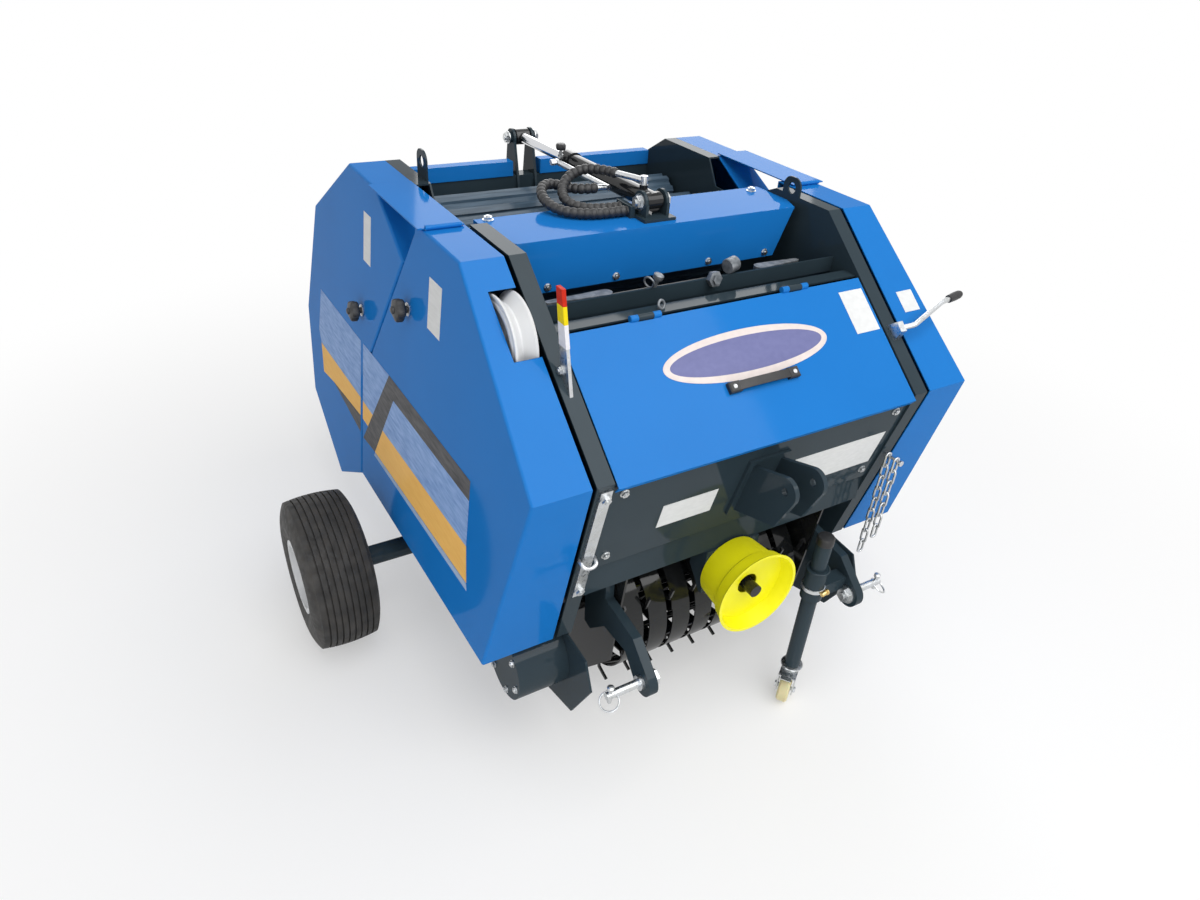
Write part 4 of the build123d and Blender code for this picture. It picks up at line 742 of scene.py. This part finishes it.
# %% [markdown]
# ## Bolts on each body
# Bolts sit on the beam, the panel, the brackets, the drum and the wheels. One mesh for all would be
# torn when the gate opens, so the places are gathered body by body, and each body gets one mesh.

# %% Bolts on each body
RAM_PIN = (-0.200, 1.309)
ROD_EYE = (0.554, 1.292)
RAM_X = -0.010
LOWER_PIN = (-0.844, 0.367)
DRUM_FACE_X = -0.593
DRUM_CENTRE = (-0.575, 0.285)
DRUM_BOLTS_R = 0.078
RIM_FACE_X = 0.884
RIM_BOLTS_R = 0.064
PANEL_AXIS = (0, *PANEL_UP)


def bolt_circle(x, centre, radius, count, start=0.0):
    """Places round a (y, z) centre on a face that looks sideways."""
    turns = [start + 2 * math.pi * k / count for k in range(count)]
    return [(x, centre[0] + radius * math.cos(turn), centre[1] + radius * math.sin(turn)) for turn in turns]


frame_bolts = [((-0.4096, -0.0924, 1.270), UP, 0.011), ((0.3943, -0.1081, 1.270), UP, 0.011)]
for x in (-0.335, -0.143, 0.143, 0.335):
    frame_bolts.append(((x, -0.268, 1.154), FORWARD, 0.008))
for x in (-0.405, 0.405):
    for z in (0.690, 0.900):
        frame_bolts.append((on_front(x, z, -PANEL_INSET), PANEL_AXIS, 0.009))
for z in (0.600, 0.915):
    frame_bolts.append((on_front(-0.462, z, 0.007), PANEL_AXIS, 0.011))
for name, side in SIDES:
    frame_bolts.append(((RAM_X + side * 0.035, *RAM_PIN), (side, 0, 0), 0.017))
    frame_bolts.append(((side * 0.3285, *LOWER_PIN), (-side, 0, 0), 0.0215))
for place in bolt_circle(DRUM_FACE_X, DRUM_CENTRE, DRUM_BOLTS_R, 6, math.radians(15)):
    frame_bolts.append((place, (-1, 0, 0), 0.008))
frame_bolts.append((on_strip(0.474, 0.367, 0.016), ACROSS, 0.010))
frame_bolts.append(((-0.469, -0.592, 1.118), (-1, 0, 0), 0.009))
gate_bolts = [((RAM_X + side * 0.043, *ROD_EYE), (side, 0, 0), 0.015) for name, side in SIDES]
body_bolts = {"frame": frame_bolts, "gate": gate_bolts}
for name, side in SIDES:
    places = bolt_circle(side * RIM_FACE_X, AXLE_PLACE, RIM_BOLTS_R, 5)
    body_bolts[f"{name}_wheel"] = [(place, (side, 0, 0), 0.010) for place in places]
hex_bolts = hex_bolt_tree()
for body, places in body_bolts.items():
    mesh = hex_bolts.grow(point_cloud(f"bolt_places_{body}", places))
    add_piece(f"bolts_{body}", mesh, body, zinc, smooth=25)
print("bolts", sum(len(places) for places in body_bolts.values()))

# %% [markdown]
# ## Chain
# Two loose strands of welded chain hang from a bolt on the right. Links could be placed by hand, but
# every second one is turned a quarter, which is a rule on the link's number. So Geometry Nodes bend one
# round wire into a link and set it along a row of points.

# %% Chain of round links
CHAIN_X = 0.461
CHAIN_TOP_Z = 0.7225
CHAIN_PITCH = 0.0375
CHAIN_STRANDS = ((0.014, 9), (0.042, 7))
HOOK_Z = 0.737
HOOK_PROFILE = [(0.004, -0.001), (0.004, 0.054), (0.008, 0.054), (0.009, 0.056), (0.008, 0.060)]


def chain_tree():
    """Welded links on a row of points, every second one turned a quarter."""
    tree = Tree("chain_links", Wire=0.0064, Length=0.0445, Width=0.0175)
    inputs = {"Width": tree["Width"], "Height": tree["Length"]}
    oblong = tree.node("GeometryNodeCurvePrimitiveQuadrilateral", inputs).outputs[0]
    inputs = {"Curve": oblong, "Radius": tree.math("MULTIPLY", tree["Width"], 0.49), "Count": 7}
    rounded = tree.node("GeometryNodeFilletCurve", inputs, mode="POLY").outputs[0]
    inputs = {"Resolution": 10, "Radius": tree.math("MULTIPLY", tree["Wire"], 0.5)}
    wire = tree.node("GeometryNodeCurvePrimitiveCircle", inputs).outputs[0]
    inputs = {"Curve": rounded, "Profile Curve": wire}
    link = tree.node("GeometryNodeCurveToMesh", inputs).outputs[0]
    odd = tree.math("MODULO", tree.node("GeometryNodeInputIndex").outputs[0], 2.0)
    inputs = {"X": math.pi / 2, "Z": tree.math("MULTIPLY", odd, math.pi / 2)}
    turn = tree.node("ShaderNodeCombineXYZ", inputs).outputs[0]
    points = tree.node("GeometryNodeMeshToPoints", {"Mesh": tree["Geometry"]}).outputs[0]
    inputs = {"Points": points, "Instance": link, "Rotation": turn}
    tree.close(tree.node("GeometryNodeInstanceOnPoints", inputs).outputs[0], zinc)
    return tree


hook_root = on_front(CHAIN_X, HOOK_Z, 0)
chain = chain_tree()
form = bmesh.new()
for reach, count in CHAIN_STRANDS:
    heights = [CHAIN_TOP_Z - k * CHAIN_PITCH for k in range(count)]
    row = [((CHAIN_X, hook_root.y - reach, height), UP, 1) for height in heights]
    form.from_mesh(chain.grow(point_cloud("link_places", row)))
lathe(form, HOOK_PROFILE, hook_root, FORWARD, 16)
links = add_form("chain_strands", form, "frame", zinc, smooth=50)
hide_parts("check_chain")
print("chain triangles", triangles(links))

# %% [markdown]
# ## Star knobs
# Each cover is held by a lobed plastic knob on a washer. Lobes could be cut out of a disc, but a lathe
# whose radius waves five times round gives the soft lobes of a moulded knob.

# %% Star knobs on the covers
KNOB_PLACES = {"frame": (-0.082, 1.068), "gate": (0.288, 0.914)}
KNOB_PROFILE = [(0.009, 0.003), (0.009, 0.012), (0.024, 0.013), (0.0275, 0.017), (0.0275, 0.029),
                (0.025, 0.034), (0.018, 0.037), (0.010, 0.038), (0.009, 0.042), (0.005, 0.044)]
KNOB_GRIP = (0.0125, 0.036)
WASHER_PROFILE = [(0.016, 0.0), (0.017, 0.001), (0.017, 0.0025), (0.016, 0.0035)]


def lobes(turn, height):
    """Five shallow lobes on the knob's grip, none on its stem."""
    return 1 + (0.10 * math.cos(5 * turn) if KNOB_GRIP[0] < height < KNOB_GRIP[1] else 0)


for body, (y, z) in KNOB_PLACES.items():
    knobs = bmesh.new()
    washers = bmesh.new()
    for name, side in SIDES:
        place = on_hood(side, y, z, 0)
        axis = (side, 0, HOOD_LEAN)
        lathe(knobs, KNOB_PROFILE, place, axis, 60, wave=lobes)
        lathe(washers, WASHER_PROFILE, place, axis, 32)
    add_form(f"star_knobs_{body}", knobs, body, black_plastic)
    add_form(f"knob_washers_{body}", washers, body, zinc)
print("star knobs", 2 * len(KNOB_PLACES))

# %% [markdown]
# ## Strap handle
# The lid is lifted by a rubber strap with a screwed cap at each end. A bent plate would look stiff, so
# the strap is a skin over sections whose height swells in a flat arch between the caps.

# %% Strap handle of the lid
HANDLE_X = 0.014
HANDLE_AT = 0.205
HANDLE_HALF = 0.103
STRAP_W = 0.021
STRAP_T = 0.0035
STRAP_STEPS = 16
STRAP_LOW = 0.0045
STRAP_ARCH = 0.0085
CAP_L = 0.032
CAP_W = 0.026
CAP_LEVELS = ((0.0003, 0.0), (0.011, 0.0), (0.014, 0.003))
SCREW_PROFILE = [(0.0058, 0.0), (0.0056, 0.0015), (0.0035, 0.003)]


def lid_rectangle(x_from, x_to, along, width, up, inset=0.0):
    """Four corners of a rectangle over the lid, drawn in by an inset."""
    half = width / 2 - inset
    corners = ((x_from + inset, -half), (x_to - inset, -half), (x_to - inset, half), (x_from + inset, half))
    return [on_lid(x, along + shift, up) for x, shift in corners]


strap = bmesh.new()
sections = []
for step in range(STRAP_STEPS + 1):
    part = step / STRAP_STEPS * 2 - 1
    x = HANDLE_X + part * (HANDLE_HALF - 0.010)
    low = STRAP_LOW + STRAP_ARCH * (1 - part ** 4)
    high = low + STRAP_T
    corners = ((-STRAP_W / 2, low), (STRAP_W / 2, low), (STRAP_W / 2, high), (-STRAP_W / 2, high))
    sections.append([on_lid(x, HANDLE_AT + shift, up) for shift, up in corners])
skin(strap, sections)
screws = bmesh.new()
for name, side in SIDES:
    x_out = HANDLE_X + side * HANDLE_HALF
    x_from, x_to = sorted((x_out - side * CAP_L, x_out))
    skin(strap, [lid_rectangle(x_from, x_to, HANDLE_AT, CAP_W, up, inset) for up, inset in CAP_LEVELS])
    place = on_lid(HANDLE_X + side * (HANDLE_HALF - 0.014), HANDLE_AT, 0.0138)
    lathe(screws, SCREW_PROFILE, place, (0, *LID_UP), 20)
handle = add_form("strap_handle", strap, "lid", black_plastic, smooth=40)
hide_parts("lid_handle")
add_form("handle_screws", screws, "lid", zinc)
print("strap handle triangles", triangles(handle))

# %% [markdown]
# ## Oval and blank plates
# The lid wears an oval badge with a pale rim, and rectangular plates sit on the lid, the panel and the
# covers. All stay blank. They could be patches in the paint, but real thin sheets have edges that catch
# the light. A table gives each sheet its surface and its corners.

# %% Oval and blank plates
OVAL_X = 0.0105
OVAL_AT = 0.131
OVAL_HALF = (0.2415, 0.061)
OVAL_POINTS = 72
OVALS = {
    "blank_oval_rim": (oval_rim, ((0.0, 0.0003), (0.0, 0.0012), (0.0008, 0.0016))),
    "blank_oval_field": (oval_field, ((0.0175, 0.0014), (0.0175, 0.0019), (0.0180, 0.0021))),
}
PLATE_LEVELS = (0.0003, 0.0009)
PLATES = {
    "blank_plate_lid": ("lid", "blue_paint", on_lid, 0.0, [(0.350, 0.429, 0.030, 0.148)]),
    "blank_plates_panel": ("frame", "slate_paint", on_front, PANEL_INSET,
                           [(-0.279, -0.124, 0.732, 0.808), (0.105, 0.415, 0.716, 0.826)]),
    "blank_plate_right": ("frame", "blue_paint", on_strip, 0.0, [(0.537, 0.592, 0.322, 0.262)]),
}
HOOD_PLATES = {"frame": ((-0.251, 1.138), (0.038, 0.062)), "gate": ((0.244, 1.135), (0.030, 0.067))}


def corners_of(low_x, high_x, low_y, high_y):
    """Corners of a rectangle, in order."""
    return [(low_x, low_y), (high_x, low_y), (high_x, high_y), (low_x, high_y)]


def lid_oval(inset, up):
    """Oval of points over the lid."""
    points = []
    for k in range(OVAL_POINTS):
        turn = 2 * math.pi * k / OVAL_POINTS
        x = OVAL_X + (OVAL_HALF[0] - inset) * math.cos(turn)
        points.append(on_lid(x, OVAL_AT - (OVAL_HALF[1] - inset) * math.sin(turn), up))
    return points


for name, (material, levels) in OVALS.items():
    form = bmesh.new()
    skin(form, [lid_oval(inset, up) for inset, up in levels])
    add_form(name, form, "lid", material)
for name, (body, slot, surface, sunk, rectangles) in PLATES.items():
    form = bmesh.new()
    for rectangle in rectangles:
        corners = corners_of(*rectangle)
        skin(form, [[surface(x, at, up - sunk) for x, at in corners] for up in PLATE_LEVELS])
    add_form(name, form, body, label_white, smooth=0)
for body, ((y, z), (half_y, half_z)) in HOOD_PLATES.items():
    outline = corners_of(y - half_y, y + half_y, z - half_z, z + half_z)
    film(f"blank_plate_{body}", outline, -1, body, label_white)
print("blank sheets", len(OVALS) + len(PLATES) + len(HOOD_PLATES))

# %% [markdown]
# ## Lever grip
# The lever on the right ends in a black plastic grip. A plain sleeve would look cut off, so a lathe
# profile swells a little in the middle and rounds the end.

# %% Grip of the lever
GRIP_FROM = Vector((0.652, -0.6498, 1.1165))
GRIP_TO = Vector((0.704, -0.6440, 1.1213))
grip_l = (GRIP_TO - GRIP_FROM).length
grip_profile = [(0.0074, 0.0), (0.0105, 0.002), (0.0115, grip_l * 0.5), (0.0110, grip_l * 0.85),
                (0.0085, grip_l), (0.004, grip_l + 0.0025)]
form = bmesh.new()
lathe(form, grip_profile, GRIP_FROM, GRIP_TO - GRIP_FROM, 24)
add_form("lever_grip", form, "frame", black_plastic)
print("lever grip length", round(grip_l, 3))

# %% [markdown]
# ## Bale gauge
# The upright bar on the left strip shows how full the chamber is. Its upper end wears three bands:
# red, yellow and white. The bar's own finish could change with height, but each band is a thin sleeve
# round the flat bar, so that its colour ends on a clean edge.

# %% Bands of the bale gauge
GAUGE_FRONT = ((-0.633, 1.073), (-0.580, 1.290))
GAUGE_REAR = ((-0.591, 1.107), (-0.558, 1.290))
GAUGE_X = (-0.4697, -0.4603)
GAUGE_PROUD = 0.0007
GAUGE_TOP_Z = 1.2908
GAUGE_BANDS = (("red", gauge_red, 0.034), ("yellow", gauge_yellow, 0.036), ("white", gauge_white, 0.048))


def gauge_ring(z):
    """Four corners round the gauge's bar at a height."""
    edges = []
    for (low_y, low_z), (high_y, high_z) in (GAUGE_FRONT, GAUGE_REAR):
        edges.append(low_y + (high_y - low_y) * (z - low_z) / (high_z - low_z))
    front, rear = edges[0] - GAUGE_PROUD, edges[1] + GAUGE_PROUD
    return [Vector((x, y, z)) for x, y in corners_of(*GAUGE_X, front, rear)]


top = GAUGE_TOP_Z
for name, finish, height in GAUGE_BANDS:
    form = bmesh.new()
    skin(form, [gauge_ring(top - height), gauge_ring(top)])
    add_form(f"gauge_band_{name}", form, "frame", finish, smooth=0)
    top -= height
print("gauge bands down to", round(top, 3))

# %% [markdown]
# ## Pins and clips
# Linch pins with spring rings lock the lower pins, and a bent staple holds the flat bar on the left.
# The rings could be Blender's torus, but turning one on the lathe puts its place in the mesh at once. The
# staple is a curve with a round bevel, made a mesh.

# %% Pins and clips
PIN_X = 0.441
PIN_PROFILE = [(0.0045, -0.026), (0.0055, -0.024), (0.0055, 0.018), (0.009, 0.020), (0.009, 0.027),
               (0.006, 0.029)]
STAPLE_R = 0.0045
STAPLE = [(-0.481, 0.712, 0.0), (-0.481, 0.712, 0.014), (-0.476, 0.708, 0.022), (-0.462, 0.704, 0.025),
          (-0.448, 0.706, 0.022), (-0.443, 0.710, 0.014), (-0.443, 0.710, 0.0)]


def torus(form, place, axis, radius, wire, segments=28):
    """Closed ring of round wire about an axis."""
    section = [2 * math.pi * k / 10 for k in range(10)]
    profile = [(radius + wire * math.cos(turn), wire * math.sin(turn)) for turn in section]
    lathe(form, profile, place, axis, segments, closed=True)


def bent_wire(name, points, radius):
    """Round wire along a smooth line of points, as a mesh."""
    line = route_curve(name, points)
    line.data.resolution_u = 8
    line.data.bevel_depth = radius
    line.data.bevel_resolution = 3
    line.data.use_fill_caps = True
    mesh = drawn_mesh(line)
    bpy.data.objects.remove(line)
    return mesh


form = bmesh.new()
for name, side in SIDES:
    lathe(form, PIN_PROFILE, (side * PIN_X, *LOWER_PIN), UP, 16)
    torus(form, (side * (PIN_X + 0.006), -0.852, 0.356), (side * 0.45, -0.30, 0.84), 0.024, 0.0026)
pins = add_form("linch_pins", form, "frame", zinc)
staple = bent_wire("bar_staple", [tuple(on_front(*point)) for point in STAPLE], STAPLE_R)
add_piece("bar_staple", staple, "frame", zinc)
print("linch pin triangles", triangles(pins))

# %% [markdown]
# ## Trim of the jack
# The jack's sleeve has a rolled lip and a band clamp with a yellow zinc screw, and its leg ends in a
# plastic cap. All are round about the jack's own axis, so each is one short profile on the lathe.

# %% Trim of the jack
JACK = (0.225, -0.808)
CLAMP_PROFILE = [(0.0301, 0.405), (0.0322, 0.4055), (0.0322, 0.4165), (0.0301, 0.417)]
CLAMP_SCREW_PROFILE = [(0.0055, -0.011), (0.0062, -0.010), (0.0062, 0.006), (0.0085, 0.0065),
                       (0.0085, 0.012), (0.006, 0.013)]
CLAMP_SCREW_PLACE = (JACK[0] + 0.006, JACK[1] - 0.0375, 0.411)
LIP_Z = 0.4745
CAP_PROFILE = [(0.0224, 0.560), (0.0236, 0.561), (0.0236, 0.580), (0.021, 0.5845), (0.012, 0.586)]
form = bmesh.new()
lathe(form, CLAMP_PROFILE, (*JACK, 0), UP, 48, closed=True)
add_form("collar_clamp", form, "frame", zinc)
form = bmesh.new()
lathe(form, CLAMP_SCREW_PROFILE, CLAMP_SCREW_PLACE, (0.98, 0.15, 0.05), 16)
add_form("clamp_screw", form, "frame", brass)
form = bmesh.new()
torus(form, (*JACK, LIP_Z), UP, 0.0302, 0.0030, 40)
add_form("collar_lip", form, "frame", slate)
form = bmesh.new()
lathe(form, CAP_PROFILE, (*JACK, 0), UP, 32)
cap = add_form("leg_cap", form, "leg", black_plastic)
print("leg cap triangles", triangles(cap))

# %% [markdown]
# ## Trim of the castor
# The castor has a swivel ring, a nut on each side of its wheel and a bent brake pedal. They turn with
# the fork, so they ride on it, and a small function places them in the fork's own turned frame.

# %% Trim of the castor
CASTOR_TURN = math.radians(35)
SWIVEL_PROFILE = [(0.0245, 0.1015), (0.031, 0.102), (0.0325, 0.1045), (0.031, 0.107), (0.0245, 0.1075)]
NUT_PROFILE = [(0.008, 0.0), (0.009, 0.001), (0.009, 0.005), (0.006, 0.006)]
PEDAL = ((-0.046, 0.1035), (-0.062, 0.106), (-0.084, 0.123), (-0.096, 0.126))
PEDAL_HALF = 0.015
PEDAL_T = 0.003


def in_castor(x, y, z):
    """Point in the castor's own turned frame."""
    cos, sin = math.cos(CASTOR_TURN), math.sin(CASTOR_TURN)
    return Vector((JACK[0] + x * cos - y * sin, JACK[1] + x * sin + y * cos, z))


form = bmesh.new()
lathe(form, SWIVEL_PROFILE, (*JACK, 0), UP, 40, closed=True)
for name, side in SIDES:
    outward = in_castor(0, side, 0) - in_castor(0, 0, 0)
    lathe(form, NUT_PROFILE, in_castor(-0.038, side * 0.025, 0.044), outward, 6)
sections = []
for x, z in PEDAL:
    corners = corners_of(-PEDAL_HALF, PEDAL_HALF, z, z + PEDAL_T)
    sections.append([in_castor(x, y, height) for y, height in corners])
skin(form, sections)
trim = add_form("castor_trim", form, "castor", zinc, smooth=30)
print("castor trim triangles", triangles(trim))

# %% [markdown]
# ## Twine pulley
# The pulley behind the gauge is a pressed white wheel with rings on its face and a groove for the twine.
# Discs could be stacked, but a pressing is one sheet, so one closed profile is turned on the lathe.

# %% Pressed pulley
PULLEY_PLACE = (-0.498, -0.444, 1.130)
PULLEY_PROFILE = [
    (0.0121, 0.0), (0.104, 0.0), (0.104, 0.006), (0.0835, 0.025), (0.0835, 0.029), (0.104, 0.048),
    (0.104, 0.053), (0.100, 0.054), (0.097, 0.051), (0.092, 0.051), (0.089, 0.054), (0.081, 0.054),
    (0.078, 0.050), (0.064, 0.047), (0.046, 0.047), (0.041, 0.054), (0.020, 0.054), (0.0121, 0.053),
]
form = bmesh.new()
lathe(form, PULLEY_PROFILE, PULLEY_PLACE, (-1, 0, 0), 72, closed=True)
pulley = add_form("pressed_pulley", form, "pulley", rim_white, smooth=30)
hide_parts("twine_pulley")
print("pulley triangles", triangles(pulley))

# %% [markdown]
# ## Needle valve
# A small valve on the cylinder's gland sets how fast the gate falls. Its body is six-sided, which a lathe
# with six segments gives, and its black knob has ten fine ribs, a wave on the knob's radius.

# %% Needle valve and its knob
VALVE = (-0.044, 0.2239, 1.3105)
VALVE_PROFILE = [(0.0085, 0.0), (0.0085, 0.010), (0.0065, 0.011), (0.0065, 0.018), (0.004, 0.019),
                 (0.004, 0.026)]
UNION_PROFILE = [(0.008, 0.0), (0.009, 0.001), (0.009, 0.014), (0.007, 0.015)]
VALVE_KNOB_PROFILE = [(0.005, 0.022), (0.0125, 0.023), (0.0135, 0.027), (0.0135, 0.036), (0.011, 0.040),
                      (0.004, 0.0405)]


def ribs(turn, height):
    """Ten fine ribs all along the valve's knob."""
    return 1 + 0.05 * math.cos(10 * turn)


form = bmesh.new()
lathe(form, VALVE_PROFILE, VALVE, UP, 6)
lathe(form, UNION_PROFILE, (-0.075, 0.2239, 1.300), ACROSS, 6)
add_form("needle_valve", form, "barrel", zinc, smooth=25)
form = bmesh.new()
lathe(form, VALVE_KNOB_PROFILE, VALVE, UP, 40, wave=ribs)
knob = add_form("valve_knob", form, "barrel", black_plastic)
print("valve knob triangles", triangles(knob))

# %% [markdown]
# ## Twine guides
# Small eyes, a stud, a roller and a nut over the box lead the twine. They are cast and sit at odd
# angles, so each is turned about an axis of its own, and all are one piece on the frame.

# %% Twine guides over the box
STUD_PROFILE = [(0.006, 0.0), (0.006, 0.020), (0.012, 0.021), (0.013, 0.032), (0.010, 0.034)]
ROLLER_PROFILE = [(0.017, -0.016), (0.019, -0.014), (0.019, 0.014), (0.017, 0.016)]
GUIDE_NUT_PROFILE = [(0.020, 0.0), (0.020, 0.014), (0.012, 0.015), (0.012, 0.022)]
form = bmesh.new()
torus(form, (-0.155, -0.487, 1.169), (0.3, -1, 0.4), 0.010, 0.0032)
torus(form, (-0.142, -0.412, 1.192), (1, 0.4, 0.3), 0.014, 0.0025)
lathe(form, STUD_PROFILE, (-0.128, -0.414, 1.180), (0.2, -0.2, 1), 12)
lathe(form, ROLLER_PROFILE, (0.105, -0.406, 1.199), (1, 0.25, 0.1), 28)
lathe(form, GUIDE_NUT_PROFILE, (0.040, -0.420, 1.178), (0, -1, 0.2), 6)
guides = add_form("twine_guides", form, "frame", casting, smooth=30)
print("twine guide triangles", triangles(guides))

# %% [markdown]
# ## Floor
# The photograph has a plain white ground. More light would bleach the machine, so the floor turns plain
# white by itself further out and keeps the machine's shadow close by. That white is only for what looks
# at the floor, directly or in a reflection, so it adds no light to the machine.

# %% Floor
FLOOR_HALF = 60
FLOOR_NEAR = 1.1
FLOOR_FAR = 3.2
FLOOR_NEAR_WHITE = 0.42


def seen(tree):
    """1 for a ray from the camera, a mirror or glass, and 0 for a ray that only brings light."""
    path = add_node(tree, "ShaderNodeLightPath").outputs
    share = path["Is Camera Ray"]
    for kind in ("Is Glossy Ray", "Is Transmission Ray"):
        share = add_node(tree, "ShaderNodeMath", {0: share, 1: path[kind]}, operation="MAXIMUM").outputs[0]
    return share


def pale_floor():
    """Matt white floor whose far part shows as plain white."""
    made = Finish("pale_floor", (0.90, 0.90, 0.90), 0.9, specular_ior_level=0.1)
    reach = made.node("ShaderNodeVectorMath", {0: made.place()}, operation="LENGTH").outputs["Value"]
    inputs = {0: reach, 1: FLOOR_NEAR, 2: FLOOR_FAR, 3: FLOOR_NEAR_WHITE, 4: 1.0}
    far = made.node("ShaderNodeMapRange", inputs, interpolation_type="SMOOTHSTEP").outputs[0]
    share = made.node("ShaderNodeMath", {0: far, 1: seen(made.tree)}, operation="MULTIPLY").outputs[0]
    white = made.node("ShaderNodeEmission", {"Color": (1, 1, 1, 1), "Strength": 1.0}).outputs[0]
    mixed = made.node("ShaderNodeMixShader", {0: share, 1: made.shader.outputs[0], 2: white}).outputs[0]
    made.tree.links.new(mixed, made.tree.nodes["Material Output"].inputs["Surface"])
    return made.material


floor_mesh = bpy.data.meshes.new("floor")
floor_corners = corners_of(-FLOOR_HALF, FLOOR_HALF, -FLOOR_HALF, FLOOR_HALF)
floor_mesh.from_pydata([(x, y, 0) for x, y in floor_corners], [], [(0, 1, 2, 3)])
floor_mesh.materials.append(pale_floor())
floor = bpy.data.objects.new("floor", floor_mesh)
bpy.context.collection.objects.link(floor)
print("floor white from", FLOOR_FAR, "m out")

# %% [markdown]
# ## Light
# The light is soft, as under an open sky: a large key high in front, weak panels at the side and behind,
# a low fill for the hitch, and a dim even world. A sun lamp would throw hard shadows under the covers.
# The world, like the floor, is white only to rays that look at it.

# %% Lights and world
MIDDLE = (0, 0, 0.7)
WORLD_LIGHT = 0.30


def soft_panel(name, place, size, power):
    """Square area light that looks at the machine's middle."""
    lamp = bpy.data.lights.new(name, "AREA")
    lamp.size = size
    lamp.energy = power
    made = bpy.data.objects.new(name, lamp)
    made.matrix_world = axis_frame(place, Vector(place) - Vector(MIDDLE))
    bpy.context.collection.objects.link(made)


soft_panel("key_panel", (0.5, -2.5, 4.8), 5.0, 215)
soft_panel("side_panel", (-4.4, -1.0, 2.4), 2.8, 30)
soft_panel("low_fill", (-1.6, -4.6, 1.5), 2.6, 34)
soft_panel("back_panel", (2.6, 4.1, 2.85), 3.4, 110)

world = bpy.data.worlds.new("white_room")
world.use_nodes = True
bpy.context.scene.world = world
strengths = {0: seen(world.node_tree), 1: 0.0, 2: 1.0, 3: WORLD_LIGHT, 4: 1.0}
strength = add_node(world.node_tree, "ShaderNodeMapRange", strengths).outputs[0]
background = world.node_tree.nodes["Background"]
background.inputs["Color"].default_value = (1, 1, 1, 1)
world.node_tree.links.new(strength, background.inputs["Strength"])
print("lamps", len(bpy.data.lights), "world", WORLD_LIGHT)
